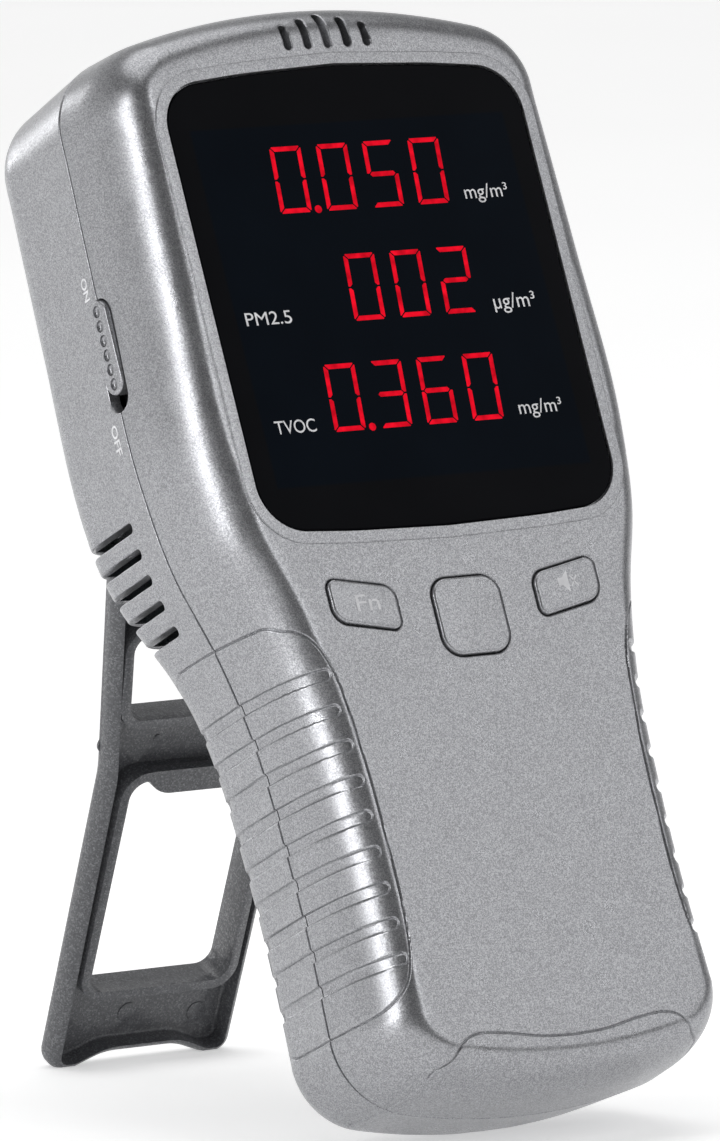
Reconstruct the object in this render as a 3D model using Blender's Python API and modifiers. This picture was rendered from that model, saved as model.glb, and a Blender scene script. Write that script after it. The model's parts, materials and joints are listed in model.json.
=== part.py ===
"""Handheld air quality monitor with a display head, a hand grip and a folding stand.

Lengths below are millimetres; every mesh is made in metres. The casing is modelled in its own
frame: x to the right, v (local Y) from the front face into the casing, and u (local Z) up the
casing, with the middle of the display at x = v = u = 0. An empty called casing_frame leans
that frame back onto the open stand.
"""

import math

import bmesh
import bpy
import numpy as np
from mathutils import Vector

MM = 0.001
GAP = 0.3                     # clearance between neighbouring pieces
LEAN = math.radians(22.8)     # the casing's tilt from upright when it stands on its stand
REST_FLAT = 0.15              # depth of the flat that standing wears into a rounded edge

# Casing outline, seen from the front at the parting line.
TOP = 55.0
BOTTOM = -147.0
TOP_CROWN = 143.0
BOTTOM_CROWN = 117.0
TOP_CORNER = 15.0
BOTTOM_CORNER = 14.0
SIDE = [(33.0, 46.6), (5.0, 47.3), (-28.0, 47.6), (-45.0, 45.2), (-58.7, 40.8), (-74.0, 37.6),
        (-95.0, 36.2), (-112.0, 36.0), (-131.0, 36.7)]     # height u and half width

# Casing depth.
PARTING = 20.0
HEAD_DEPTH = 48.0
GRIP_DEPTH = 40.0
NECK_TOP = -31.0
NECK_BOTTOM = -70.0
DRAFT = 0.0685
FRONT_EDGE = (6.0, 14.0)      # elliptical front edge: width across the face, depth
TOP_EDGE_EXTRA = 3.0          # the front edge is wider along the top
TOP_EDGE_POWER = 0.8          # and fuller there than an ellipse
BACK_EDGE = 7.0
WALL = 2.2
FACE_WALL = 3.2

# Display window.
WINDOW_HALF = 37.9
WINDOW_TOP = (41.2, 38.6)     # height at the middle and beside the corner
WINDOW_BOTTOM = (-45.1, -43.4)
WINDOW_CORNER = 9.0
WINDOW_THICK = 1.6
WINDOW_LEDGE = 3.0

# Keys.
KEY_PROUD = 0.55
KEY_TRAVEL = 0.8
KEY_FLANGE = (3.5, 4.7)
KEY_STEM = 5.9

# Air slots in the top edge and through the rear corners.
TOP_SLOTS = [(-8.4, 49.1), (-4.2, 50.3), (0.0, 51.3), (4.2, 50.3), (8.4, 49.1)]   # middle, top end
TOP_SLOT_LOW = 44.2
TOP_SLOT_HALF = 0.8
VENT_COUNT = 5
VENT_FIRST = -32.7
VENT_PITCH = 4.83
VENT_HALF = 0.95
VENT_FRONT = 27.2

# Power slider on the left side.
SLOT_TOP = 7.0
SLOT_BOTTOM = -13.8
SLOT_HALF = 3.1
KNOB_LENGTH = 17.4
KNOB_HALF = 2.8
DIMPLE_COUNT = 6
DIMPLE_FIRST = 4.75           # height of the top dimple in the knob's face
DIMPLE_PITCH = 2.68
DIMPLE_RADIUS = 1.1
DIMPLE_DEPTH = 0.45

# Inside.
BOARD = (10.0, 11.6)
CELL_RADIUS = 9.2
CELL_LENGTH = 65.0
CELL_DEPTH = 22.5

# Stand, in its own frame: x, the depth from its hinge axis, and t down from that axis.
HINGE_V = 51.8
HINGE_U = -15.7
STAND_OPEN = math.radians(45.0)
STAND_DEPTH = 6.5
STAND_BARREL = 3.4
STAND_RIM = 1.8
STAND_WEB = 2.2
STAND_TOP_HALF = 32.0
STAND_LEG_HALF = 19.7
STAND_BEND = 61.0
STAND_FOOT = 122.2
PIN_RADIUS = 1.5

CASE_SCREWS = [(-37.0, 38.0), (37.0, 38.0), (-38.0, -26.0), (38.0, -26.0), (-26.5, -132.0),
               (26.5, -132.0)]
BOARD_SCREWS = [(-26.0, 42.5), (26.0, 42.5), (-22.0, -46.5), (22.0, -46.5)]


# ---------------------------------------------------------------- scene and materials

def clear_scene():
    for obj in list(bpy.data.objects):
        bpy.data.objects.remove(obj, do_unlink=True)


def make_collection(name):
    group = bpy.data.collections.new(name)
    bpy.context.scene.collection.children.link(group)
    return group


def make_material(name, colour, roughness, metallic=0.0):
    mat = bpy.data.materials.new(name)
    mat.use_nodes = True
    shader = mat.node_tree.nodes["Principled BSDF"]
    shader.inputs["Base Color"].default_value = (*colour, 1.0)
    shader.inputs["Roughness"].default_value = roughness
    shader.inputs["Metallic"].default_value = metallic
    mat.diffuse_color = (*colour, 1.0)
    return mat


clear_scene()
PARTS = make_collection("air_quality_monitor")
CUTTERS = make_collection("cutters")

SILVER = (0.40, 0.40, 0.42)
PLASTIC_DARK = (0.045, 0.047, 0.052)
STEEL = (0.55, 0.55, 0.57)


def add_empty(name, parent=None):
    obj = bpy.data.objects.new(name, None)
    PARTS.objects.link(obj)
    obj.parent = parent
    return obj


CASING = add_empty("casing_frame")
CASING.rotation_euler = (-LEAN, 0.0, 0.0)
STAND_PIVOT = add_empty("stand_pivot", CASING)
STAND_PIVOT.location = (0.0, HINGE_V * MM, HINGE_U * MM)
STAND_PIVOT.rotation_euler = (STAND_OPEN, 0.0, 0.0)


def add_object(name, mesh, parent, colour=None, roughness=0.5, metallic=0.0):
    """A part when it has a colour, otherwise a shape that only cuts or joins."""
    obj = bpy.data.objects.new(name, mesh)
    obj.parent = parent
    if colour is None:
        CUTTERS.objects.link(obj)
        obj.hide_render = True
        obj.display_type = "WIRE"
    else:
        PARTS.objects.link(obj)
        mesh.materials.append(make_material(name, colour, roughness, metallic))
    return obj


def shade(obj, angle=35.0):
    obj.data.shade_smooth()
    obj.data.set_sharp_from_angle(angle=math.radians(angle))


def boolean(target, tool, operation="DIFFERENCE"):
    mod = target.modifiers.new(tool.name, "BOOLEAN")
    mod.operation = operation
    mod.solver = "EXACT"
    mod.object = tool


# ---------------------------------------------------------------- flat outlines and prisms

def arc(centre, radius, start, end, steps):
    angles = np.radians(np.linspace(start, end, steps + 1))
    return [(centre[0] + radius * math.cos(a), centre[1] + radius * math.sin(a)) for a in angles]


def rounded(corners, steps=5):
    """A polygon whose corners, given as (x, y, radius), are rounded."""
    points = []
    count = len(corners)
    for i, (x, y, radius) in enumerate(corners):
        here = Vector((x, y))
        to_last = (Vector(corners[i - 1][:2]) - here).normalized()
        to_next = (Vector(corners[(i + 1) % count][:2]) - here).normalized()
        half = to_last.angle(to_next) / 2
        if radius <= 0:
            points.append((x, y))
            continue
        start = here + to_last * radius / math.tan(half)
        end = here + to_next * radius / math.tan(half)
        centre = here + (to_last + to_next).normalized() * radius / math.sin(half)
        for k in range(steps + 1):
            ray = (start - centre).lerp(end - centre, k / steps).normalized()
            points.append(tuple(centre + ray * radius))
    return points


def mirrored(corners):
    """The left half of an outline from its right half, listed from top to bottom."""
    return corners + [(-c[0], *c[1:]) for c in reversed(corners)]


def stadium(half_width, low, high, steps=6):
    top = arc((0.0, high - half_width), half_width, 0, 180, steps)
    return top + arc((0.0, low + half_width), half_width, 180, 360, steps)


def prism_mesh(name, outline, low, high):
    """A flat outline in (x, u), filled and given a thickness from v = low to v = high."""
    curve = bpy.data.curves.new(name, "CURVE")
    curve.dimensions = "2D"
    curve.fill_mode = "BOTH"
    curve.extrude = (high - low) / 2 * MM
    spline = curve.splines.new("POLY")
    spline.points.add(len(outline) - 1)
    for point, (x, u) in zip(spline.points, outline):
        point.co = (x * MM, u * MM, 0.0, 1.0)
    spline.use_cyclic_u = True
    source = bpy.data.objects.new(name, curve)
    bpy.context.scene.collection.objects.link(source)
    mesh = bpy.data.meshes.new_from_object(source.evaluated_get(bpy.context.evaluated_depsgraph_get()))
    bpy.data.objects.remove(source, do_unlink=True)
    middle = (low + high) / 2 * MM
    shape = bmesh.new()
    shape.from_mesh(mesh)
    bmesh.ops.remove_doubles(shape, verts=shape.verts, dist=1e-6)
    for vert in shape.verts:
        x, u, depth = vert.co
        vert.co = (x, middle - depth, u)
    bmesh.ops.recalc_face_normals(shape, faces=shape.faces)
    if shape.calc_volume(signed=True) < 0:
        bmesh.ops.reverse_faces(shape, faces=shape.faces)
    shape.to_mesh(mesh)
    shape.free()
    return mesh


def prism(name, outline, low, high, parent=CASING, **look):
    return add_object(name, prism_mesh(name, outline, low, high), parent, **look)


def side_prism(name, outline, low, high, parent=CASING, **look):
    """A prism whose outline is in (v, u) and whose thickness runs along x."""
    mesh = prism_mesh(name, outline, low, high)
    for vert in mesh.vertices:
        x, v, u = vert.co
        vert.co = (v, x, u)
    mesh.flip_normals()
    return add_object(name, mesh, parent, **look)


def box(name, low, high, parent=CASING, **look):
    shape = bmesh.new()
    bmesh.ops.create_cube(shape, size=1.0)
    for vert in shape.verts:
        vert.co = [(low[i] + high[i]) / 2 * MM + vert.co[i] * (high[i] - low[i]) * MM for i in range(3)]
    mesh = bpy.data.meshes.new(name)
    shape.to_mesh(mesh)
    shape.free()
    return add_object(name, mesh, parent, **look)


def turned(name, profile, segments, parent=CASING, **look):
    """A solid turned about the v axis from (radius, v) points that run from its front end."""
    mesh = bpy.data.meshes.new(name)
    points = [(r * MM, v * MM, 0.0) for r, v in profile]
    mesh.from_pydata(points, [(i, i + 1) for i in range(len(points) - 1)], [])
    obj = add_object(name, mesh, parent, **look)
    screw = obj.modifiers.new("turn", "SCREW")
    screw.axis = "Y"
    screw.steps = segments
    screw.render_steps = segments
    screw.use_merge_vertices = True
    screw.merge_threshold = 0.00001
    screw.use_normal_calculate = True
    return obj


def cylinder(name, centre, radius, low, high, segments=24, parent=CASING, **look):
    """A round bar along v."""
    shape = bmesh.new()
    bmesh.ops.create_cone(shape, cap_ends=True, segments=segments, radius1=radius * MM,
                          radius2=radius * MM, depth=(high - low) * MM)
    for vert in shape.verts:
        x, y, z = vert.co
        vert.co = (x + centre[0] * MM, (low + high) / 2 * MM - z, y + centre[1] * MM)
    mesh = bpy.data.meshes.new(name)
    shape.to_mesh(mesh)
    shape.free()
    obj = add_object(name, mesh, parent, **look)
    shade(obj)
    return obj


# ---------------------------------------------------------------- casing shells

def half_width(u):
    """Half width of the casing at height u: a smooth curve through SIDE."""
    heights = np.array([p[0] for p in SIDE])[::-1]
    widths = np.array([p[1] for p in SIDE])[::-1]
    slopes = np.gradient(widths, heights)
    i = int(np.clip(np.searchsorted(heights, u) - 1, 0, len(heights) - 2))
    span = heights[i + 1] - heights[i]
    t = float(np.clip((u - heights[i]) / span, 0.0, 1.0))
    ease = t * t * (3 - 2 * t)
    low_pull = t * (1 - t) ** 2 * span * slopes[i]
    high_pull = t * t * (t - 1) * span * slopes[i + 1]
    return widths[i] * (1 - ease) + widths[i + 1] * ease + low_pull + high_pull


def casing_depth(u):
    """Depth of the back face at height u."""
    t = min(max((u - NECK_BOTTOM) / (NECK_TOP - NECK_BOTTOM), 0.0), 1.0)
    return GRIP_DEPTH + (HEAD_DEPTH - GRIP_DEPTH) * t * t * (3 - 2 * t)


def crown_and_corner(crown, corner, side):
    """An end of the outline: a wide crown arc from the middle and the corner arc after it.

    Points are measured down from the end's middle.
    """
    reach = side - corner
    drop = crown - math.sqrt((crown - corner) ** 2 - reach ** 2)
    turn = math.degrees(math.atan2(crown - drop, reach))
    middle = arc((0.0, -crown), crown, 90, turn, 5)
    return middle + arc((reach, -drop), corner, turn, 0, 6)[1:]


def half_outline():
    """The right half of the outline, from the top's middle to the bottom's middle."""
    top = [(x, TOP + y) for x, y in crown_and_corner(TOP_CROWN, TOP_CORNER, SIDE[0][1])]
    bottom = [(x, BOTTOM - y) for x, y in crown_and_corner(BOTTOM_CROWN, BOTTOM_CORNER, SIDE[-1][1])]
    heights = np.linspace(top[-1][1], bottom[-1][1], 22)[1:-1]
    return top + [(half_width(u), u) for u in heights] + bottom[::-1]


def inward_normals(points):
    """Unit normals of the half outline, pointing into the casing."""
    path = np.array([(-points[1][0], points[1][1])] + points + [(-points[-2][0], points[-2][1])])
    tangents = path[2:] - path[:-2]
    tangents /= np.linalg.norm(tangents, axis=1)[:, None]
    return np.stack([tangents[:, 1], -tangents[:, 0]], axis=1)


OUTLINE = half_outline()
NORMALS = inward_normals(OUTLINE)


def ring(inset, depth):
    """One closed ring of the casing: insets and depths are given per point of the half outline."""
    right = [(x + n[0] * a, v, u + n[1] * a)
             for (x, u), n, a, v in zip(OUTLINE, NORMALS, inset, depth)]
    right[0] = (0.0, *right[0][1:])
    right[-1] = (0.0, *right[-1][1:])
    return right + [(-x, v, u) for x, v, u in right[-2:0:-1]]


def front_rings():
    """Rings of the front shell, from its face round the parting edge to its inner face."""
    wide, deep = FRONT_EDGE
    across = [wide + TOP_EDGE_EXTRA * max(0.0, -n[1]) ** 2 for n in NORMALS]
    rings = []
    powers = [2 / (2 + TOP_EDGE_POWER * max(0.0, -n[1]) ** 2) for n in NORMALS]
    for turn in np.radians([90, 76, 62, 48, 34, 18, 0]):
        depths = [deep * (1 - math.sin(turn) ** p) for p in powers]
        rings.append(ring([DRAFT * (PARTING - v) + a * (1 - math.cos(turn) ** p)
                           for a, p, v in zip(across, powers, depths)], depths))
    edge = PARTING - GAP / 2
    rings.append(ring([0.0] * len(OUTLINE), [edge] * len(OUTLINE)))
    rings.append(ring([WALL] * len(OUTLINE), [edge] * len(OUTLINE)))
    for v, extra in ((11.0, 0.8), (6.0, 1.8), (FACE_WALL, 4.0)):
        rings.append(ring([WALL + DRAFT * (PARTING - v) + extra + a * (1 - v / deep) ** 2 / 3
                           for a in across], [v] * len(OUTLINE)))
    return rings


def back_rings():
    """Rings of the rear shell, from its back face round the parting edge to its inner face."""
    depths = [casing_depth(u) for _, u in OUTLINE]
    rings = []
    for wall, turns in ((0.0, [90, 70, 50, 30, 12, 0]), (WALL, [0, 30, 60, 90])):
        radius = BACK_EDGE - wall
        arcs = []
        for turn in np.radians(turns):
            v = [d - wall - radius * (1 - math.sin(turn)) for d in depths]
            inset = [wall + DRAFT * (d - PARTING) + radius * (1 - math.cos(turn)) for d in v]
            arcs.append(ring(inset, v))
        edge = ring([wall] * len(OUTLINE), [PARTING + GAP / 2] * len(OUTLINE))
        rings += arcs + [edge] if wall == 0.0 else [edge] + arcs
    return rings


def shell(name, rings, outward_first):
    """A shell from rings: its sides join ring to ring, and its end rings are closed by strips."""
    count = len(rings[0])
    verts = [(x * MM, v * MM, u * MM) for points in rings for x, v, u in points]
    faces = []
    for k in range(len(rings) - 1):
        for i in range(count):
            j = (i + 1) % count
            faces.append((k * count + i, k * count + j, (k + 1) * count + j, (k + 1) * count + i))
    for k in (0, len(rings) - 1):
        base = k * count
        strips = [(base, base + 1, base + count - 1)]
        for i in range(1, count // 2 - 1):
            strips.append((base + i, base + i + 1, base + count - i - 1, base + count - i))
        strips.append((base + count // 2 - 1, base + count // 2, base + count // 2 + 1))
        faces += strips if (k == 0) == outward_first else [s[::-1] for s in strips]
    mesh = bpy.data.meshes.new(name)
    mesh.from_pydata(verts, [], faces)
    shape = bmesh.new()
    shape.from_mesh(mesh)
    bmesh.ops.recalc_face_normals(shape, faces=shape.faces)
    shape.to_mesh(mesh)
    shape.free()
    obj = add_object(name, mesh, CASING, colour=SILVER, roughness=0.42, metallic=0.35)
    shade(obj)
    return obj


def window_outline(margin):
    """The display window's outline, grown by margin all round."""
    top, shoulder = WINDOW_TOP
    bottom, hip = WINDOW_BOTTOM
    half = WINDOW_HALF + margin
    radius = WINDOW_CORNER + margin
    right = [(0.0, top + margin, 0.0), (20.0, top - 0.9 + margin, 0.0), (half, shoulder + margin, radius),
             (half, hip - margin, radius), (20.0, bottom + 0.5 - margin, 0.0), (0.0, bottom - margin, 0.0)]
    return rounded(right + [(-x, u, r) for x, u, r in right[-2:0:-1]], steps=7)


def key_outlines():
    """Outlines of the left, middle and right keys."""
    wing = [(-28.2, -52.7, 1.6), (-14.8, -55.2, 3.4), (-14.8, -63.1, 1.6), (-28.2, -60.5, 3.4)]
    middle = [(-7.0, -54.6, 4.0), (7.0, -54.6, 4.0), (7.0, -68.6, 4.0), (-7.0, -68.6, 4.0)]
    return {"left": wing, "middle": middle, "right": [(-x, u, r) for x, u, r in wing]}


def grow(corners, margin):
    """Corners of a convex outline moved away from its middle by margin."""
    cx = sum(c[0] for c in corners) / len(corners)
    cy = sum(c[1] for c in corners) / len(corners)
    return [(x + math.copysign(margin, x - cx), y + math.copysign(margin, y - cy), max(r + margin, 0.4))
            for x, y, r in corners]


def make_front_shell():
    body = shell("front_shell", front_rings(), True)
    posts = [cylinder(f"front_post_{i}", p, 3.4, 2.6, PARTING - 1.0, 20)
             for i, p in enumerate(CASE_SCREWS)]
    posts += [cylinder(f"board_post_{i}", p, 2.5, 2.6, BOARD[0] - GAP, 16)
              for i, p in enumerate(BOARD_SCREWS)]
    for post in posts:
        boolean(body, post, "UNION")
    boolean(body, prism("window_recess", window_outline(0.0), -2.0, WINDOW_THICK + GAP))
    boolean(body, prism("window_opening", window_outline(-WINDOW_LEDGE), -3.0, FACE_WALL + 2.0))
    for side, corners in key_outlines().items():
        boolean(body, prism(f"key_hole_{side}", rounded(grow(corners, GAP)), -2.0, FACE_WALL + 0.2))
    for i, (x, top) in enumerate(TOP_SLOTS):
        slot = [(p + x, u) for p, u in stadium(TOP_SLOT_HALF, TOP_SLOT_LOW, top, 4)]
        boolean(body, prism(f"top_slot_{i}", slot, -2.0, 9.0))
    for i, p in enumerate(CASE_SCREWS):
        boolean(body, cylinder(f"front_pilot_{i}", p, 1.3 + GAP, 7.0, PARTING + 1.0, 16))
    for i, p in enumerate(BOARD_SCREWS):
        boolean(body, cylinder(f"board_pilot_{i}", p, 1.0 + GAP, 4.4, BOARD[0] + 1.0, 12))
    cut_side_openings(body)
    return body


def cut_side_openings(body):
    """The slider's slot on the left and the charging socket's opening on the right."""
    tag = body.name
    slot = [(v + PARTING, u) for v, u in stadium(SLOT_HALF, SLOT_BOTTOM, SLOT_TOP)]
    boolean(body, side_prism(f"slider_slot_{tag}", slot, -55.0, -42.0))
    port = rounded([(PARTING + 2.1, 0.2, 1.6), (PARTING + 2.1, -10.2, 1.6), (PARTING - 2.1, -10.2, 1.6),
                    (PARTING - 2.1, 0.2, 1.6)], 3)
    boolean(body, side_prism(f"socket_opening_{tag}", port, 42.0, 55.0))


def floor_cutter(name, parent, reach):
    """A slab under the standing plane, given by how far that plane is below the casing's middle."""
    slab = box(name, (-80.0, -150.0, -60.0), (80.0, 220.0, 0.0), parent)
    slab.rotation_euler = (LEAN, 0.0, 0.0)
    down = Vector((0.0, math.sin(LEAN), -math.cos(LEAN)))
    slab.location = down * reach * MM
    return slab


def standing_reach(rings):
    """How far the rear shell reaches straight down from the casing's middle, less REST_FLAT."""
    reach = max(v * math.sin(LEAN) - u * math.cos(LEAN) for points in rings for _, v, u in points)
    return reach - REST_FLAT


def make_rear_shell():
    rings = back_rings()
    body = shell("rear_shell", rings, True)
    for i, (x, u) in enumerate(CASE_SCREWS):
        boss = cylinder(f"rear_boss_{i}", (x, u), 4.2, PARTING - 0.5, casing_depth(u) - 1.0, 20)
        boolean(body, boss, "UNION")
    for side in (-1, 1):
        inner = side * (STAND_TOP_HALF + GAP)
        outer = side * (STAND_TOP_HALF + 4.4)
        lug = arc((HINGE_V, HINGE_U), 3.6, -60, 60, 8)
        lug += [(HEAD_DEPTH - 1.5, HINGE_U + 6.5), (HEAD_DEPTH - 1.5, HINGE_U - 6.5)]
        name = f"hinge_lug_{'left' if side < 0 else 'right'}"
        boolean(body, side_prism(name, lug, min(inner, outer), max(inner, outer)), "UNION")
    pin_hole = arc((HINGE_V, HINGE_U), PIN_RADIUS + GAP, 0, 360, 16)[:-1]
    boolean(body, side_prism("pin_hole_shell", pin_hole, -STAND_TOP_HALF - 9.0, STAND_TOP_HALF + 9.0))
    for i, (x, u) in enumerate(CASE_SCREWS):
        back = casing_depth(u)
        boolean(body, cylinder(f"head_bore_{i}", (x, u), 3.0, back - 6.0, back + 3.0, 20))
        boolean(body, cylinder(f"shank_bore_{i}", (x, u), 1.3 + GAP, PARTING - 2.0, back - 4.0, 16))
    cut_vents(body)
    cut_side_openings(body)
    boolean(body, floor_cutter("standing_plane_shell", CASING, standing_reach(rings)))
    return body


def cut_vents(body):
    """Five air slots through each rear corner of the head's lower edge."""
    for side in (-1, 1):
        for i in range(VENT_COUNT):
            u = VENT_FIRST - VENT_PITCH * i
            edge = half_width(u)
            depth = casing_depth(u)
            outline = rounded([(edge + 3.0, VENT_FRONT, 0.9), (edge + 3.0, depth + 3.0, 0.9),
                               (edge - 9.0, depth + 3.0, 0.9), (edge - 9.0, depth - 4.0, 0.9),
                               (edge - 4.5, VENT_FRONT, 0.9)], 3)
            mesh = prism_mesh(f"vent_{i}_{side}", outline, u - VENT_HALF, u + VENT_HALF)
            for vert in mesh.vertices:
                x, height, v = vert.co
                vert.co = (side * x, v, height)
            if side > 0:
                mesh.flip_normals()
            boolean(body, add_object(mesh.name, mesh, CASING))


# ---------------------------------------------------------------- display and keys

def make_display():
    prism("display_window", window_outline(-GAP), 0.0, WINDOW_THICK, colour=(0.004, 0.005, 0.008),
          roughness=0.06)
    box("led_display", (-30.5, 2.2, -32.0), (30.5, BOARD[0] - GAP, 30.0), colour=(0.02, 0.02, 0.02),
        roughness=0.4)


def make_keys():
    for side, corners in key_outlines().items():
        key = prism(f"{side}_key", rounded(corners), -KEY_PROUD, KEY_FLANGE[1], colour=SILVER,
                    roughness=0.42, metallic=0.35)
        flange = prism(f"key_flange_{side}", rounded(grow(corners, 1.2)), *KEY_FLANGE)
        boolean(key, flange, "UNION")
        x = sum(c[0] for c in corners) / 4
        u = sum(c[1] for c in corners) / 4
        stem = cylinder(f"key_stem_{side}", (x, u), 1.5, KEY_FLANGE[1] - 0.4, KEY_STEM, 12)
        boolean(key, stem, "UNION")
        top = KEY_STEM + KEY_TRAVEL + 0.2
        switch = box(f"{side}_key_switch", (x - 3.0, top + 0.4, u - 3.0), (x + 3.0, BOARD[0] - GAP, u + 3.0),
                     colour=(0.03, 0.03, 0.03), roughness=0.5)
        boolean(switch, cylinder(f"plunger_{side}", (x, u), 1.7, top, top + 1.0, 16), "UNION")


def make_slider():
    """The dimpled power slider and the slide switch that it works."""
    top = SLOT_TOP - GAP
    edge = half_width(0.0)
    knob = [(v + PARTING, u) for v, u in stadium(KNOB_HALF, top - KNOB_LENGTH, top)]
    slider = side_prism("power_slider", knob, -edge - 0.5, -edge + WALL + 2.0, colour=SILVER, roughness=0.42,
                         metallic=0.35)
    plate = rounded([(PARTING + 4.6, top + 1.4, 1.0), (PARTING + 4.6, top - KNOB_LENGTH - 1.4, 1.0),
                     (PARTING - 4.6, top - KNOB_LENGTH - 1.4, 1.0), (PARTING - 4.6, top + 1.4, 1.0)], 3)
    boolean(slider, side_prism("slider_plate", plate, -edge + WALL + 1.1, -edge + WALL + 2.3), "UNION")
    for i in range(DIMPLE_COUNT):
        dimple = arc((PARTING, DIMPLE_FIRST - DIMPLE_PITCH * i), DIMPLE_RADIUS, 0, 360, 12)[:-1]
        boolean(slider, side_prism(f"slider_dimple_{i}", dimple, -edge - 1.0, -edge - 0.5 + DIMPLE_DEPTH))
    box("slide_switch", (-edge + 5.0, PARTING - 3.2, -9.0), (-edge + 10.5, PARTING + 3.2, 5.0),
        colour=(0.02, 0.02, 0.02), roughness=0.5)


# ---------------------------------------------------------------- inside

def make_board():
    outline = rounded(mirrored([(31.0, 46.0, 2.0), (31.0, -40.0, 1.0), (25.5, -48.0, 1.0),
                                (25.5, -67.5, 2.0)]), 3)
    board = prism("main_board", outline, *BOARD, colour=(0.02, 0.16, 0.07), roughness=0.45)
    for i, p in enumerate(BOARD_SCREWS):
        boolean(board, cylinder(f"board_hole_{i}", p, 1.0 + GAP, BOARD[0] - 1.0, BOARD[1] + 1.0, 12))


def make_sensors():
    back = BOARD[1] + GAP
    cylinder("formaldehyde_sensor", (0.0, 27.0), 10.0, back, back + 14.0, 28, colour=(0.62, 0.62, 0.60),
             roughness=0.35)
    cylinder("voc_sensor", (-20.0, 27.0), 4.6, back, back + 8.0, 20, colour=STEEL, roughness=0.3,
             metallic=1.0)
    cylinder("buzzer", (20.0, 27.0), 6.0, back, back + 8.5, 24, colour=(0.02, 0.02, 0.02), roughness=0.5)
    case = box("particle_sensor", (-25.0, 22.0, -30.0), (25.0, 37.0, 8.0), colour=(0.25, 0.32, 0.42),
               roughness=0.4)
    boolean(case, cylinder("fan_well", (11.0, -11.0), 11.5, 28.0, 38.0, 28))


def make_fan():
    """The sensor's fan: a hub with seven leaning blades, turning in the sensor's round well."""
    blades = 7
    points = []
    for i in range(blades):
        base = 2 * math.pi * i / blades
        for radius, turn in ((4.2, -0.30), (4.2, -0.05), (10.4, 0.22), (10.4, 0.36), (4.2, 0.16)):
            points.append((radius * math.cos(base + turn), radius * math.sin(base + turn)))
    pivot = add_empty("fan_pivot", CASING)
    pivot.location = (11.0 * MM, 0.0, -11.0 * MM)
    prism("fan_rotor", points, 29.0, 35.5, pivot, colour=(0.02, 0.02, 0.02), roughness=0.45)


def make_power():
    """Two round cells in a cradle inside the grip, and the charging socket."""
    low = -136.5
    for side, x in (("left", -CELL_RADIUS - 0.4), ("right", CELL_RADIUS + 0.4)):
        pivot = add_empty(f"cell_axis_{side}", CASING)
        pivot.location = (x * MM, CELL_DEPTH * MM, low * MM)
        pivot.rotation_euler = (math.pi / 2, 0.0, 0.0)
        profile = [(0.0, 0.0), (CELL_RADIUS - 0.8, 0.0), (CELL_RADIUS, 0.8), (CELL_RADIUS, CELL_LENGTH - 1.6),
                   (CELL_RADIUS - 0.8, CELL_LENGTH - 0.8), (2.8, CELL_LENGTH - 0.8), (2.8, CELL_LENGTH),
                   (0.0, CELL_LENGTH)]
        shade(turned(f"battery_cell_{side}", profile, 28, pivot, colour=(0.05, 0.20, 0.42), roughness=0.4))
    reach = 2 * CELL_RADIUS + 1.4
    cradle = box("battery_cradle", (-reach, 12.0, low - 2.2), (reach, 34.6, low + CELL_LENGTH + 2.2),
                 colour=(0.03, 0.03, 0.03), roughness=0.55)
    boolean(cradle, box("cradle_room", (-reach - 2.0, 5.0, low - 0.5),
                        (reach + 2.0, CELL_DEPTH + CELL_RADIUS + 0.5, low + CELL_LENGTH + 0.5)))
    edge = half_width(-5.0)
    socket = box("usb_socket", (edge - 8.5, PARTING - 1.6, -9.5), (edge - 1.2, PARTING + 1.6, -0.5),
                 colour=STEEL, roughness=0.3, metallic=1.0)
    boolean(socket, box("socket_mouth", (edge - 6.5, PARTING - 1.25, -9.1),
                        (edge + 1.0, PARTING + 1.25, -0.9)))


# ---------------------------------------------------------------- stand

def stand_outline(margin):
    """The stand's outer outline in (x, t), grown by margin; its legs splay towards the hinge."""
    foot = STAND_FOOT + margin
    right = [(STAND_TOP_HALF + margin, 6.0, 0.0), (STAND_LEG_HALF + 0.6 + margin, -STAND_BEND, 24.0),
             (STAND_LEG_HALF + margin, -foot, 3.6 + margin), (STAND_LEG_HALF - 5.5, -foot, 2.5),
             (8.0, -foot + 2.7, 12.0)]
    return rounded(mirrored(right), 4)


def stand_windows(margin):
    """The upper and lower openings of the stand, grown by margin."""
    upper = [(21.4 + margin, -31.8 + margin, 3.2 + margin), (18.6 + margin, -49.3 - margin, 3.2 + margin)]
    lower = [(15.2 + margin, -62.1 + margin, 3.6 + margin), (15.2 + margin, -105.6 - margin, 3.2 + margin)]
    return {"upper": rounded(mirrored(upper), 4), "lower": rounded(mirrored(lower), 4)}


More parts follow.
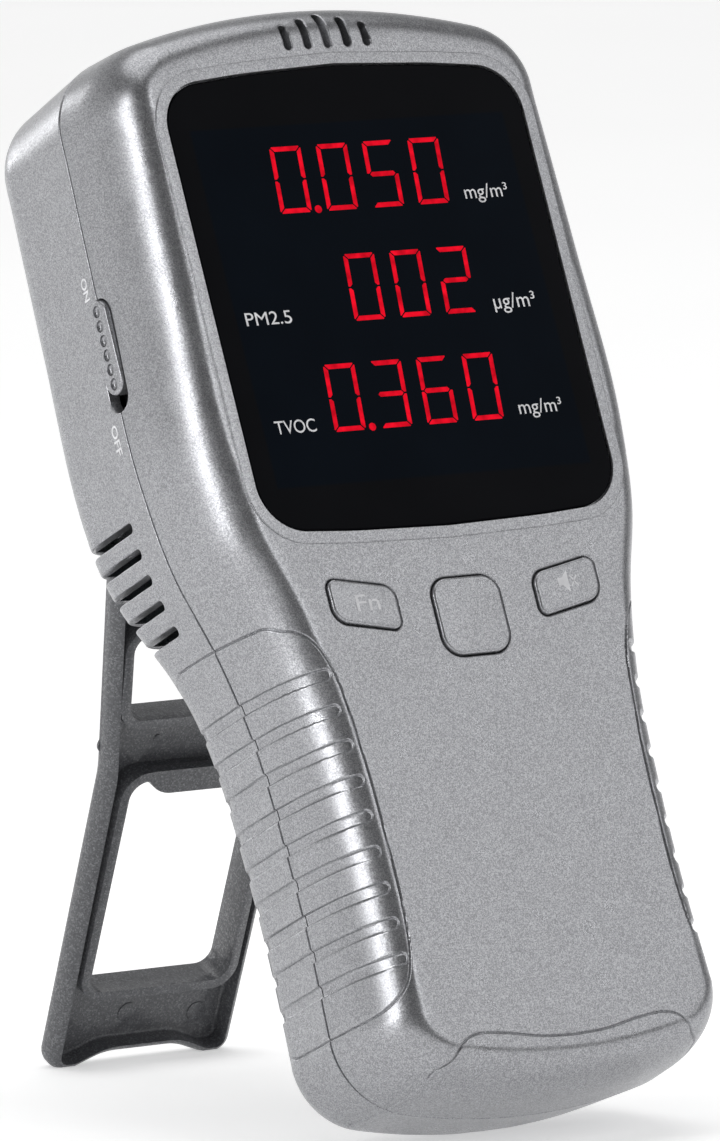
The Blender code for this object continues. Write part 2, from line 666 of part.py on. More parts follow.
def make_stand(reach):
    """A ribbed plate: rims round its edge and its openings stand up from a thin web."""
    back = STAND_DEPTH / 2
    plate = prism("stand", stand_outline(0.0), -back, back, STAND_PIVOT, colour=PLASTIC_DARK, roughness=0.5)
    top_cut = box("stand_top_cut", (-50.0, -10.0, -1.0), (50.0, 10.0, 20.0), STAND_PIVOT)
    boolean(plate, top_cut)
    barrel = arc((0.0, 0.0), STAND_BARREL, 0, 360, 20)[:-1]
    boolean(plate, side_prism("stand_barrel", barrel, -STAND_TOP_HALF, STAND_TOP_HALF, STAND_PIVOT), "UNION")
    pocket = prism("stand_pocket", stand_outline(-STAND_RIM), -back - 1.0, back - STAND_WEB, STAND_PIVOT)
    boolean(pocket, box("pocket_top", (-50.0, -10.0, -back - 1.6), (50.0, 10.0, 20.0), STAND_PIVOT))
    for name, outline in stand_windows(STAND_RIM).items():
        boolean(pocket, prism(f"{name}_rim", outline, -back - 3.0, back, STAND_PIVOT))
    tab_rim = rounded(mirrored([(13.2, -60.2, 1.0), (9.0, -64.9, 6.0)]), 4)
    boolean(plate, pocket)
    for name, outline in stand_windows(0.0).items():
        boolean(plate, prism(f"{name}_window", outline, -back - 2.0, back + 2.0, STAND_PIVOT))
    boolean(plate, prism("finger_tab", tab_rim, -back, -back + 2.4, STAND_PIVOT), "UNION")
    bore = arc((0.0, 0.0), PIN_RADIUS + GAP, 10, 370, 16)[:-1]
    boolean(plate, side_prism("pin_hole_stand", bore, -50.0, 50.0, STAND_PIVOT))
    boolean(plate, floor_cutter("standing_plane_stand", CASING, reach))


def make_stand_pin():
    half = STAND_TOP_HALF + 4.2
    circle = arc((HINGE_V, HINGE_U), PIN_RADIUS, 0, 360, 16)[:-1]
    side_prism("stand_pin", circle, -half, half, colour=STEEL, roughness=0.3, metallic=1.0)


# ---------------------------------------------------------------- screws

def screw(name, centre, shank, head, tip, seat, turn):
    """A pan head screw along v: the shank runs from tip to seat and the head sits behind it.

    Its cross recess is turned by turn degrees.
    """
    pivot = add_empty(f"{name}_axis", CASING)
    pivot.location = (centre[0] * MM, 0.0, centre[1] * MM)
    profile = [(0.0, tip), (shank * 0.6, tip), (shank, tip + 1.0), (shank, seat), (head, seat),
               (head, seat + head * 0.45), (head * 0.7, seat + head * 0.8), (0.0, seat + head * 0.8)]
    body = turned(name, profile, 18, pivot, colour=STEEL, roughness=0.3, metallic=1.0)
    arm = head * 0.5
    slim = head * 0.12
    cross = [(arm, slim), (slim, slim), (slim, arm), (-slim, arm), (-slim, slim), (-arm, slim), (-arm, -slim),
             (-slim, -slim), (-slim, -arm), (slim, -arm), (slim, -slim), (arm, -slim)]
    c, s = math.cos(math.radians(turn)), math.sin(math.radians(turn))
    cross = [(c * x - s * u, s * x + c * u) for x, u in cross]
    boolean(body, prism(f"{name}_recess", cross, seat + head * 0.4, seat + head, pivot))


def make_screws():
    for i, (x, u) in enumerate(CASE_SCREWS):
        screw(f"case_screw_{i + 1}", (x, u), 1.3, 2.6, 8.0, casing_depth(u) - 6.0 + GAP, 17 + 23 * i)
    for i, (x, u) in enumerate(BOARD_SCREWS):
        screw(f"board_screw_{i + 1}", (x, u), 1.0, 2.0, 5.0, BOARD[1] + GAP, 29 + 19 * i)


# ---------------------------------------------------------------- assembly

def settle():
    """Move the casing frame so that the model's box stands centred on the origin."""
    bpy.context.view_layer.update()
    graph = bpy.context.evaluated_depsgraph_get()
    corners = []
    for obj in PARTS.objects:
        if obj.type == "MESH":
            shape = obj.evaluated_get(graph)
            corners += [shape.matrix_world @ vert.co for vert in shape.data.vertices]
    y = [c.y for c in corners]
    z = [c.z for c in corners]
    CASING.location = (0.0, -(min(y) + max(y)) / 2, -min(z))


def main():
    make_front_shell()
    make_rear_shell()
    make_display()
    make_keys()
    make_slider()
    make_board()
    make_sensors()
    make_fan()
    make_power()
    make_stand(standing_reach(back_rings()))
    make_stand_pin()
    make_screws()
    settle()


main()
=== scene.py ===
import json
import math

import bmesh
import bpy
import numpy as np
from mathutils import Matrix, Vector


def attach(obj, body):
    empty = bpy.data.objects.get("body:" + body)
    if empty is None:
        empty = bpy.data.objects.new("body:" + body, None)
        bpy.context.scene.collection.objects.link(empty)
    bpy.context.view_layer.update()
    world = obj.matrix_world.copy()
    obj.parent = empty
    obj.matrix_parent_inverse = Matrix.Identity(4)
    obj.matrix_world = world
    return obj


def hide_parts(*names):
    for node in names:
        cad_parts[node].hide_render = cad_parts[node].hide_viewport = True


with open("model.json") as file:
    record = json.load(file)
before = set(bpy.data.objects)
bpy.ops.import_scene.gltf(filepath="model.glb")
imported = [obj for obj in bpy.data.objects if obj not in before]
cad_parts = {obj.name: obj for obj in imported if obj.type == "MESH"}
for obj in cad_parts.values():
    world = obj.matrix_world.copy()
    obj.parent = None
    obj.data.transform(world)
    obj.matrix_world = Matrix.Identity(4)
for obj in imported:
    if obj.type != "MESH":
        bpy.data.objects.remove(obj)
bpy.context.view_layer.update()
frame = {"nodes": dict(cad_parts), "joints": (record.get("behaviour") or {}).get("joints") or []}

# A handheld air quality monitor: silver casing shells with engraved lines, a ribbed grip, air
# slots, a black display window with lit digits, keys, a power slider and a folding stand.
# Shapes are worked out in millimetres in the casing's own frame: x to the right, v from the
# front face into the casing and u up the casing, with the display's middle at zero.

MM = 0.001

# ------------------------------------------------------------- sizes shared with the CAD model

GAP = 0.3
TOP = 55.0
BOTTOM = -147.0
TOP_CROWN = 143.0
BOTTOM_CROWN = 117.0
TOP_CORNER = 15.0
BOTTOM_CORNER = 14.0
SIDE = [(33.0, 46.6), (5.0, 47.3), (-28.0, 47.6), (-45.0, 45.2), (-58.7, 40.8), (-74.0, 37.6),
        (-95.0, 36.2), (-112.0, 36.0), (-131.0, 36.7)]     # height u and half width
PARTING = 20.0
HEAD_DEPTH = 48.0
GRIP_DEPTH = 40.0
NECK_TOP = -31.0
NECK_BOTTOM = -70.0
DRAFT = 0.0685
FRONT_EDGE = (6.0, 14.0)
TOP_EDGE_EXTRA = 3.0
TOP_EDGE_POWER = 0.8
BACK_EDGE = 7.0
WALL = 2.2
FACE_WALL = 3.2
WINDOW_HALF = 37.9
WINDOW_TOP = (41.2, 38.6)
WINDOW_BOTTOM = (-45.1, -43.4)
WINDOW_CORNER = 9.0
WINDOW_THICK = 1.6
WINDOW_LEDGE = 3.0
KEY_PROUD = 0.55
SLOT_TOP = 7.0
SLOT_BOTTOM = -13.8
SLOT_HALF = 3.1
KNOB_LENGTH = 17.4
KNOB_HALF = 2.8
HINGE_V = 51.8
HINGE_U = -15.7
STAND_OPEN = math.radians(45.0)
STAND_DEPTH = 6.5
STAND_BARREL = 3.4
STAND_RIM = 1.8
STAND_WEB = 2.2
STAND_TOP_HALF = 32.0
STAND_LEG_HALF = 19.7
STAND_BEND = 61.0
STAND_FOOT = 122.2
PIN_RADIUS = 1.5
CASE_SCREWS = [(-37.0, 38.0), (37.0, 38.0), (-38.0, -26.0), (38.0, -26.0), (-26.5, -132.0),
               (26.5, -132.0)]

# ------------------------------------------------------------- frames

JOINTS = {joint["name"]: joint for joint in frame["joints"]}
V_AXIS = Vector(JOINTS["middle_key_press"]["axis"]).normalized()
U_AXIS = -Vector(JOINTS["power_slide"]["axis"]).normalized()
HINGE = Vector(JOINTS["stand_hinge"]["pos_m"])


def casing_matrix():
    """The casing's frame in the world, from the record's joint axes and its hinge point."""
    origin = HINGE - V_AXIS * HINGE_V * MM - U_AXIS * HINGE_U * MM
    turn = Matrix((Vector((1.0, 0.0, 0.0)), V_AXIS, U_AXIS)).transposed()
    return Matrix.Translation(origin) @ turn.to_4x4()


CASING = casing_matrix()
STAND = (CASING @ Matrix.Translation((0.0, HINGE_V * MM, HINGE_U * MM))
         @ Matrix.Rotation(STAND_OPEN, 4, "X"))

# ------------------------------------------------------------- casing outline and sections


def half_width(u):
    """Half width of the casing at each height u: a smooth curve through SIDE."""
    heights = np.array([p[0] for p in SIDE])[::-1]
    widths = np.array([p[1] for p in SIDE])[::-1]
    slopes = np.gradient(widths, heights)
    u = np.asarray(u, float)
    i = np.clip(np.searchsorted(heights, u) - 1, 0, len(heights) - 2)
    span = heights[i + 1] - heights[i]
    t = np.clip((u - heights[i]) / span, 0.0, 1.0)
    ease = t * t * (3 - 2 * t)
    low_pull = t * (1 - t) ** 2 * span * slopes[i]
    high_pull = t * t * (t - 1) * span * slopes[i + 1]
    return widths[i] * (1 - ease) + widths[i + 1] * ease + low_pull + high_pull


def casing_depth(u):
    """Depth of the back face at each height u."""
    t = np.clip((np.asarray(u, float) - NECK_BOTTOM) / (NECK_TOP - NECK_BOTTOM), 0.0, 1.0)
    return GRIP_DEPTH + (HEAD_DEPTH - GRIP_DEPTH) * t * t * (3 - 2 * t)


def arc(centre, radius, start, end, steps):
    """Points along a circular arc between two angles in degrees."""
    angles = np.radians(np.linspace(start, end, steps + 1))
    return [(centre[0] + radius * math.cos(a), centre[1] + radius * math.sin(a)) for a in angles]


def outline_end(crown, corner, side, steps):
    """An end of the outline, down from its middle: a wide crown arc and the corner after it."""
    reach = side - corner
    drop = crown - math.sqrt((crown - corner) ** 2 - reach ** 2)
    turn = math.degrees(math.atan2(crown - drop, reach))
    middle = arc((0.0, -crown), crown, 90, turn, steps)
    return middle, arc((reach, -drop), corner, turn, 0, steps)


OUTLINE_CELLS = (6, 8, 24, 8, 6)      # rows of cells along crown, corner, side, corner, crown
OUTLINE_STEPS = 240                   # points that each of those stretches is worked out at


def right_outline():
    """The outline's right half from the top's middle down: row, x and u of each point."""
    top = outline_end(TOP_CROWN, TOP_CORNER, SIDE[0][1], OUTLINE_STEPS)
    low = outline_end(BOTTOM_CROWN, BOTTOM_CORNER, SIDE[-1][1], OUTLINE_STEPS)
    up_side = TOP + top[1][-1][1]
    low_side = BOTTOM - low[1][-1][1]
    heights = np.linspace(up_side, low_side, 8 * OUTLINE_STEPS + 1)
    runs = [[(x, TOP + y) for x, y in top[0]], [(x, TOP + y) for x, y in top[1]],
            list(zip(half_width(heights), heights)),
            [(x, BOTTOM - y) for x, y in low[1][::-1]], [(x, BOTTOM - y) for x, y in low[0][::-1]]]
    rows, points = [], []
    first = 0
    for cells, run in zip(OUTLINE_CELLS, runs):
        rows += list(first + cells * np.linspace(0.0, 1.0, len(run)))[:-1]
        points += run[:-1]
        first += cells
    rows.append(first)
    points.append(runs[-1][-1])
    return np.array(rows), np.array(points)


ROWS, OUTLINE = right_outline()


def outline_normals():
    """Unit normals along the right half of the outline, pointing into the casing."""
    path = np.vstack([OUTLINE[1] * (-1, 1), OUTLINE, OUTLINE[-2] * (-1, 1)])
    tangents = path[2:] - path[:-2]
    tangents /= np.linalg.norm(tangents, axis=1)[:, None]
    return np.stack([tangents[:, 1], -tangents[:, 0]], axis=1)


NORMALS = outline_normals()


def along(row, values):
    """A value along the right half of the outline, at outline rows between its points."""
    return np.interp(row, ROWS, values)


class Section:
    """The casing's section from the middle of a face, round its edge to the parting line.

    Columns of cells run across the flat face, round the edge, along the wall, over the parting
    rim and back along the inner wall and inner face.
    """

    FACE, EDGE, SIDE_WALL, RIM, INNER, INNER_FACE = 4, 9, 8, 1, 3, 2
    WALL_STEPS = ((0.0, 0.5, 0.625, 0.75, 0.875, 1.0), (0.0, 0.93, 0.955, 0.975, 0.99, 1.0))

    def __init__(self, rear):
        self.rear = rear
        self.columns = (self.FACE + self.EDGE + self.SIDE_WALL + self.RIM + self.INNER
                        + self.INNER_FACE)
        self.outside = self.FACE + self.EDGE + self.SIDE_WALL
        self.rim_end = self.outside + self.RIM

    def profile(self, column, row):
        """Inset, depth and outward slope at each column beyond the face's edge."""
        u = along(row, OUTLINE[:, 1])
        turn = np.clip((column - self.FACE) / self.EDGE, 0.0, 1.0) * math.pi / 2
        wall = (column - self.FACE - self.EDGE) / self.SIDE_WALL
        wall = np.interp(wall, self.WALL_STEPS[0], self.WALL_STEPS[1])
        if self.rear:
            depth = casing_depth(u)
            edge = BACK_EDGE
            v = depth - edge * (1 - np.cos(turn))
            corner = depth - edge
            v = np.where(wall > 0, corner + (PARTING + GAP / 2 - corner) * wall, v)
            inset = DRAFT * (v - PARTING) + np.where(wall > 0, 0.0, edge * (1 - np.sin(turn)))
        else:
            wide, deep = FRONT_EDGE
            down = np.maximum(0.0, -along(row, NORMALS[:, 1]))
            across = wide + TOP_EDGE_EXTRA * down ** 2
            power = 2 / (2 + TOP_EDGE_POWER * down ** 2)
            v = deep * (1 - np.cos(turn) ** power)
            v = np.where(wall > 0, deep + (PARTING - GAP / 2 - deep) * wall, v)
            edge_inset = across * (1 - np.sin(turn) ** power)
            inset = DRAFT * (PARTING - v) + np.where(wall > 0, 0.0, edge_inset)
        return inset, v

    def inner(self, column, row):
        """Inset and depth along the inner wall, from the rim to the inner face's edge."""
        u = along(row, OUTLINE[:, 1])
        t = np.clip((column - self.rim_end) / self.INNER, 0.0, 1.0)
        if self.rear:
            end = casing_depth(u) - WALL
            start = PARTING + GAP / 2
            v = start + (end - start) * np.minimum(t * 1.5, 1.0)
            inset = WALL + DRAFT * (v - PARTING) * (t > 0) + 5.0 * np.maximum(0.0, t - 2 / 3) * 3
            v = v - 0.8 * (t > 0.6) * (t < 0.9)
        else:
            start = PARTING - GAP / 2
            v = start + (FACE_WALL - start) * t
            inset = WALL + (DRAFT * (PARTING - v) + 4.0 * t) * (t > 0) + 3.0 * t ** 2
        return inset, v

    def place(self, row, column):
        """Points (x, v, u) of the smooth surface, before any relief."""
        row = np.asarray(row, float)
        column = np.asarray(column, float)
        inset, v = self.profile(np.minimum(column, self.outside), row)
        rim = np.clip((column - self.outside) / self.RIM, 0.0, 1.0)
        inset = inset + WALL * rim
        inner_inset, inner_v = self.inner(np.minimum(column, self.rim_end + self.INNER), row)
        inside = column > self.rim_end
        inset = np.where(inside, inner_inset, inset)
        v = np.where(inside, inner_v, v)
        x = along(row, OUTLINE[:, 0]) + along(row, NORMALS[:, 0]) * inset
        u = along(row, OUTLINE[:, 1]) + along(row, NORMALS[:, 1]) * inset
        share = np.where(column < self.FACE, column / self.FACE, 1.0)
        last = self.rim_end + self.INNER
        share = np.where(column > last, (self.columns - column) / self.INNER_FACE, share)
        middle = (row <= 0) | (row >= ROWS[-1])
        return np.stack([np.where(middle, 0.0, x * share), v, u], axis=-1)

    def normals(self, row, column):
        """Outward unit normals of the outer surface."""
        turn = np.clip((column - self.FACE) / self.EDGE, 0.0, 1.0) * math.pi / 2
        wide, deep = (BACK_EDGE, BACK_EDGE) if self.rear else FRONT_EDGE
        out = np.sin(turn) * deep
        back = np.cos(turn) * wide
        size = np.hypot(out, back)
        nx = -along(row, NORMALS[:, 0]) * out / size
        nu = -along(row, NORMALS[:, 1]) * out / size
        facing = 1.0 if self.rear else -1.0
        return np.stack([nx, facing * back / size, nu], axis=-1)


# ------------------------------------------------------------- fine cells where detail is

CELL_PARTS = 128          # the finest halving of a cell
COARSE = 1.4              # cell size on curved surfaces
COARSE_FLAT = 6.0
GROWTH = 1.4              # how quickly cells may grow away from a detail


def split_cells(section, closeness):
    """Cells as (row, row end, column, column end) in parts, halved until they suit the detail."""
    rows = np.arange(int(ROWS[-1])) * CELL_PARTS
    columns = np.arange(section.columns) * CELL_PARTS
    a, b = np.meshgrid(rows, columns, indexing="ij")
    cells = np.stack([a.ravel(), a.ravel() + CELL_PARTS, b.ravel(), b.ravel() + CELL_PARTS], axis=1)
    done = []
    while len(cells):
        r0, r1, c0, c1 = (cells[:, k] / CELL_PARTS for k in range(4))
        p00, p01 = section.place(r0, c0), section.place(r0, c1)
        p10, p11 = section.place(r1, c0), section.place(r1, c1)
        tall = np.maximum(np.linalg.norm(p10 - p00, axis=1), np.linalg.norm(p11 - p01, axis=1))
        wide = np.maximum(np.linalg.norm(p01 - p00, axis=1), np.linalg.norm(p11 - p10, axis=1))
        centre = section.place((r0 + r1) / 2, (c0 + c1) / 2)
        gap, fine = closeness(centre)
        gap = np.maximum(0.0, gap - np.hypot(tall, wide) / 2)
        flat = c1 <= section.FACE
        allowed = np.minimum(fine + GROWTH * gap, np.where(flat, COARSE_FLAT, COARSE))
        allowed = np.where(c0 >= section.outside, 1e9, allowed)
        can_tall = (cells[:, 1] - cells[:, 0]) > 1
        can_wide = (cells[:, 3] - cells[:, 2]) > 1
        cut_tall = (tall > allowed) & can_tall & ((tall >= wide) | ~can_wide)
        cut_wide = (wide > allowed) & can_wide & ~cut_tall
        keep = ~cut_tall & ~cut_wide
        done.append(cells[keep])
        t, w = cells[cut_tall], cells[cut_wide]
        half_t = (t[:, 0] + t[:, 1]) // 2
        half_w = (w[:, 2] + w[:, 3]) // 2
        cells = np.vstack([np.column_stack([t[:, 0], half_t, t[:, 2], t[:, 3]]),
                           np.column_stack([half_t, t[:, 1], t[:, 2], t[:, 3]]),
                           np.column_stack([w[:, 0], w[:, 1], w[:, 2], half_w]),
                           np.column_stack([w[:, 0], w[:, 1], half_w, w[:, 3]])])
    return np.vstack(done)


def cell_faces(cells):
    """Grid points of the cells, and each cell as a polygon through every point on its border."""
    big = 1 << 20
    corners = [cells[:, i] * big + cells[:, j] for i in (0, 1) for j in (2, 3)]
    corners = np.unique(np.concatenate(corners))
    rows, columns = corners // big, corners % big
    turned = columns * big + rows
    order = np.argsort(turned)
    turned = turned[order]
    r0, r1, c0, c1 = cells.T
    find = np.searchsorted
    spans = np.column_stack([find(corners, r0 * big + c0), find(corners, r0 * big + c1),
                             find(turned, c1 * big + r0), find(turned, c1 * big + r1),
                             find(corners, r1 * big + c0), find(corners, r1 * big + c1),
                             find(turned, c0 * big + r0), find(turned, c0 * big + r1)]).tolist()
    by_row = list(range(len(corners)))
    by_column = order.tolist()
    faces = []
    for a, b, c, d, e, f, g, h in spans:
        faces.append(by_row[a:b] + by_column[c:d] + by_row[f:e:-1] + by_column[h:g:-1])
    return rows / CELL_PARTS, columns / CELL_PARTS, faces


# ------------------------------------------------------------- points on the surface


def distance_to_outline(x, u):
    """How far inside the casing's outline each point is, and the outline row nearest to it."""
    gaps = np.hypot(OUTLINE[None, :, 0] - np.abs(x)[:, None], OUTLINE[None, :, 1] - u[:, None])
    nearest = np.argmin(gaps, axis=1)
    return gaps[np.arange(len(x)), nearest], ROWS[nearest]


def front_points(points):
    """Points (x, u) seen from the front, brought onto the front shell."""
    points = np.array(points, float)
    inset, rows = distance_to_outline(points[:, 0], points[:, 1])
    section = Section(False)
    columns = np.linspace(section.FACE, section.outside, 200)
    v = []
    for row, wanted in zip(rows, inset):
        insets, depths = section.profile(columns, np.full(len(columns), row))
        v.append(np.interp(-wanted, -insets, depths))
    return np.column_stack([points[:, 0], v, points[:, 1]])


def wall_points(row, depths, side=1):
    """Points on the casing's side at an outline row and at depths that run over both shells."""
    points = []
    for depth in depths:
        section = Section(depth > PARTING)
        columns = np.linspace(section.FACE, section.outside, 400)
        _, steps = section.profile(columns, np.full(len(columns), row))
        column = columns[np.argmin(np.abs(steps - depth))]
        x, v, u = section.place(row, column)
        points.append((side * x, v, u))
    return np.array(points)


def side_row(u):
    """The outline row whose point on the casing's side is at height u."""
    beside = slice(int(np.searchsorted(ROWS, 14)), int(np.searchsorted(ROWS, 38)) + 1)
    return float(np.interp(-u, -OUTLINE[beside, 1], ROWS[beside]))


def smooth_line(points, spacing=0.5, closed=False):
    """A smooth curve through the points (Catmull-Rom), with a point about every spacing."""
    points = np.asarray(points, float)
    if closed:
        ends = np.vstack([points[-1], points, points[0], points[1]])
    else:
        ends = np.vstack([2 * points[0] - points[1], points, 2 * points[-1] - points[-2]])
    line = []
    for a, b, c, d in zip(ends[:-3], ends[1:-2], ends[2:-1], ends[3:]):
        steps = max(1, int(np.ceil(np.linalg.norm(c - b) / spacing)))
        for t in np.arange(steps) / steps:
            line.append(0.5 * (2 * b + (c - a) * t + (2 * a - 5 * b + 4 * c - d) * t * t
                               + (3 * b - a - 3 * c + d) * t ** 3))
    line.append(ends[-2])
    return np.array(line)


def distance_to_line(points, line):
    """Distance of each point from a polyline, in as many dimensions as they have."""
    best = np.full(len(points), 1e9)
    for start in range(0, len(points), 20000):
        block = points[start:start + 20000]
        here = best[start:start + 20000]
        for a, b in zip(line[:-1], line[1:]):
            run = b - a
            t = np.clip((block - a) @ run / max(run @ run, 1e-12), 0.0, 1.0)
            off = block - a - t[:, None] * run
            np.minimum(here, np.einsum("ij,ij->i", off, off), out=here)
    return np.sqrt(best)


def inside_loop(points, loop):
    """Whether each flat point is inside a closed loop."""
    x, y = points[:, 0], points[:, 1]
    inside = np.zeros(len(points), bool)
    for (x0, y0), (x1, y1) in zip(loop, np.roll(loop, -1, axis=0)):
        crosses = (y0 > y) != (y1 > y)
        if y0 != y1:
            inside ^= crosses & (x < (x1 - x0) * (y - y0) / (y1 - y0) + x0)
    return inside


# ------------------------------------------------------------- relief: engraving and soft edges


def ease(t):
    """A smooth step from zero to one."""
    t = np.clip(t, 0.0, 1.0)
    return t * t * (3 - 2 * t)


NEAR = 4.0                # distances are worked out exactly within this of a detail's box


class Engraving:
    """A channel along a line on the surface: half its width, its depth and its walls' width."""

    def __init__(self, line, half, depth, wall, fine=0.17, sides=(-1, 1)):
        self.line = np.asarray(line, float)
        self.half, self.depth, self.wall = half, depth, wall
        self.fine, self.sides = fine, sides
        self.low = self.line.min(0)
        self.high = self.line.max(0)

    def gap(self, points):
        """A lower bound of each point's distance from the channel's edges."""
        over = np.maximum(np.maximum(self.low - points, points - self.high), 0.0)
        gap = np.maximum(0.0, np.linalg.norm(over, axis=1) - self.half - self.wall)
        near = gap < NEAR
        distance = distance_to_line(points[near], self.line)
        gap[near] = np.maximum(0.0, np.abs(distance - self.half) - self.wall)
        return gap

    def relief(self, points, side):
        depth = np.zeros(len(points))
        if side not in self.sides:
            return depth
        reach = self.half + self.wall
        near = np.all((points > self.low - reach) & (points < self.high + reach), axis=1)
        distance = distance_to_line(points[near], self.line)
        depth[near] = self.depth * ease((reach - distance) / (2 * self.wall))
        return depth


class SoftEdge:
    """A rounded edge round an opening, whose loop is flat in two of the three directions."""

    def __init__(self, loop, axes, within, radius, fine=0.2, sides=(-1, 1)):
        self.loop = np.asarray(loop, float)
        self.closed = np.vstack([self.loop, self.loop[:1]])
        self.axes, self.within, self.radius = axes, within, radius
        self.fine, self.sides = fine, sides
        self.low = self.loop.min(0)
        self.high = self.loop.max(0)

    def gap(self, points):
        flat = points[:, self.axes]
        over = np.maximum(np.maximum(self.low - flat, flat - self.high), 0.0)
        gap = np.maximum(0.0, np.linalg.norm(over, axis=1) - self.radius)
        axis, low, high = self.within
        off = np.maximum(np.maximum(low - points[:, axis], points[:, axis] - high), 0.0)
        gap = np.maximum(gap, off)
        near = gap < NEAR
        distance = distance_to_line(flat[near], self.closed)
        inside = inside_loop(flat[near], self.loop)
        band = np.where(inside, distance - 0.1, distance - self.radius)
        gap[near] = np.maximum(off[near], np.maximum(0.0, band))
        return gap

    def relief(self, points, side):
        depth = np.zeros(len(points))
        if side not in self.sides:
            return depth
        flat = points[:, self.axes]
        axis, low, high = self.within
        near = np.all((flat > self.low - self.radius) & (flat < self.high + self.radius), axis=1)
        near &= (points[:, axis] > low) & (points[:, axis] < high)
        distance = distance_to_line(flat[near], self.closed)
        distance[inside_loop(flat[near], self.loop)] = 0.0
        t = np.clip(distance / self.radius, 0.0, 1.0)
        depth[near] = self.radius * (1 - np.sqrt(1 - (1 - t) ** 2)) * 0.92
        return depth


SEAM_EDGE = 0.22          # radius of the parting edges


def seam_relief(points):
    """Rounds both shells' edges along the parting line."""
    t = np.clip((np.abs(points[:, 1] - PARTING) - GAP / 2) / SEAM_EDGE, 0.0, 1.0)
    return SEAM_EDGE * (1 - np.sqrt(1 - (1 - t) ** 2)) * 0.9


# ------------------------------------------------------------- flat outlines


def rounded(corners, steps=8):
    """A polygon whose corners, given as (x, y, radius), are rounded."""
    points = []
    count = len(corners)
    for i, (x, y, radius) in enumerate(corners):
        if radius <= 0:
            points.append((x, y))
            continue
        here = Vector((x, y))
        to_last = (Vector(corners[i - 1][:2]) - here).normalized()
        to_next = (Vector(corners[(i + 1) % count][:2]) - here).normalized()
        half = to_last.angle(to_next) / 2
        start = here + to_last * radius / math.tan(half)
        end = here + to_next * radius / math.tan(half)
        centre = here + (to_last + to_next).normalized() * radius / math.sin(half)
        for k in range(steps + 1):
            ray = (start - centre).lerp(end - centre, k / steps).normalized()
            points.append(tuple(centre + ray * radius))
    return points


def mirrored(corners):
    """Corners on the right, followed by their mirror images back up the left."""
    return corners + [(-c[0], *c[1:]) for c in reversed(corners)]


def stadium(half, low, high, steps=16):
    """An upright slot with round ends, from low to high."""
    top = arc((0.0, high - half), half, 0, 180, steps)
    return top + arc((0.0, low + half), half, 180, 360, steps)


def window_outline(margin):
    """The display window's outline, grown by margin all round."""
    top, shoulder = WINDOW_TOP
    bottom, hip = WINDOW_BOTTOM
    half = WINDOW_HALF + margin
    radius = WINDOW_CORNER + margin
    right = [(0.0, top + margin, 0.0), (20.0, top - 0.9 + margin, 150.0),
             (half, shoulder + margin, radius), (half, hip - margin, radius),
             (20.0, bottom + 0.5 - margin, 150.0), (0.0, bottom - margin, 0.0)]
    return rounded(right + [(-x, u, r) for x, u, r in right[-2:0:-1]], steps=14)


def key_corners(margin=0.0):
    """Corners of the left, middle and right keys' outlines, grown by margin."""
    wing = [(-28.2, -52.7, 1.6), (-14.8, -55.2, 2.8), (-14.8, -63.1, 1.5), (-28.2, -60.5, 3.2)]
    middle = [(-7.0, -54.6, 3.4), (7.0, -54.6, 3.4), (7.0, -68.6, 3.6), (-7.0, -68.6, 3.6)]
    keys = {"left": wing, "middle": middle, "right": [(-x, u, r) for x, u, r in wing]}
    grown = {}
    for side, corners in keys.items():
        cx = sum(c[0] for c in corners) / len(corners)
        cy = sum(c[1] for c in corners) / len(corners)
        grown[side] = [(x + math.copysign(margin, x - cx), y + math.copysign(margin, y - cy),
                        max(r + margin, 0.4)) for x, y, r in corners]
    return grown


TOP_SLOTS = [(-8.4, 49.1), (-4.2, 50.3), (0.0, 51.3), (4.2, 50.3), (8.4, 49.1)]  # x, top u
TOP_SLOT_LOW = 44.2
TOP_SLOT_HALF = 0.8
VENT_FIRST = -32.7
VENT_PITCH = 4.83
VENT_HALF = 0.95
VENT_FRONT = 27.2
VENT_COUNT = 5
SOCKET_TOP = 0.2
SOCKET_BOTTOM = -10.2
SOCKET_HALF = 2.1
SOCKET_CORNER = 1.6


def box_corners(middle, half, low, high, radius):
    """Corners of an upright box about a middle, each with the same radius."""
    return [(middle + half, high, radius), (middle + half, low, radius),
            (middle - half, low, radius), (middle - half, high, radius)]


def top_slot_outlines():
    """The air slots over the window in (x, u), from left to right."""
    return [[(x + dx, u) for dx, u in stadium(TOP_SLOT_HALF, TOP_SLOT_LOW, top)]
            for x, top in TOP_SLOTS]


def vent_outline(u):
    """One vent slot in (v, u), open past the casing's back."""
    nose = arc((VENT_FRONT + VENT_HALF, u), VENT_HALF, 90, 270, 14)
    return nose + [(HEAD_DEPTH + 4.0, u - VENT_HALF), (HEAD_DEPTH + 4.0, u + VENT_HALF)]


def slider_slot():
    """The power slider's slot in (v, u)."""
    return [(v + PARTING, u) for v, u in stadium(SLOT_HALF, SLOT_BOTTOM, SLOT_TOP)]


def socket_opening():
    """The charging socket's opening in (v, u)."""
    return rounded(box_corners(PARTING, SOCKET_HALF, SOCKET_BOTTOM, SOCKET_TOP, SOCKET_CORNER))


# ------------------------------------------------------------- lines and grooves on the casing

GROOVES = 9
GROOVE_FIRST = -69.6
GROOVE_PITCH = 6.43
GROOVE_HALF = 1.02
GROOVE_DEPTH = 0.55
GROOVE_WALL = 0.15
GROOVE_FINE = 0.22            # cell size along a groove's walls
LINE_HALF = 0.16
LINE_DEPTH = 0.34
LINE_WALL = 0.13
LINE_STEP = 0.6
GROOVE_DEPTHS = [9.0, 14.0, 20.0, 27.0, 33.0, 35.0, 36.5, 37.6]     # v of its points past the nose


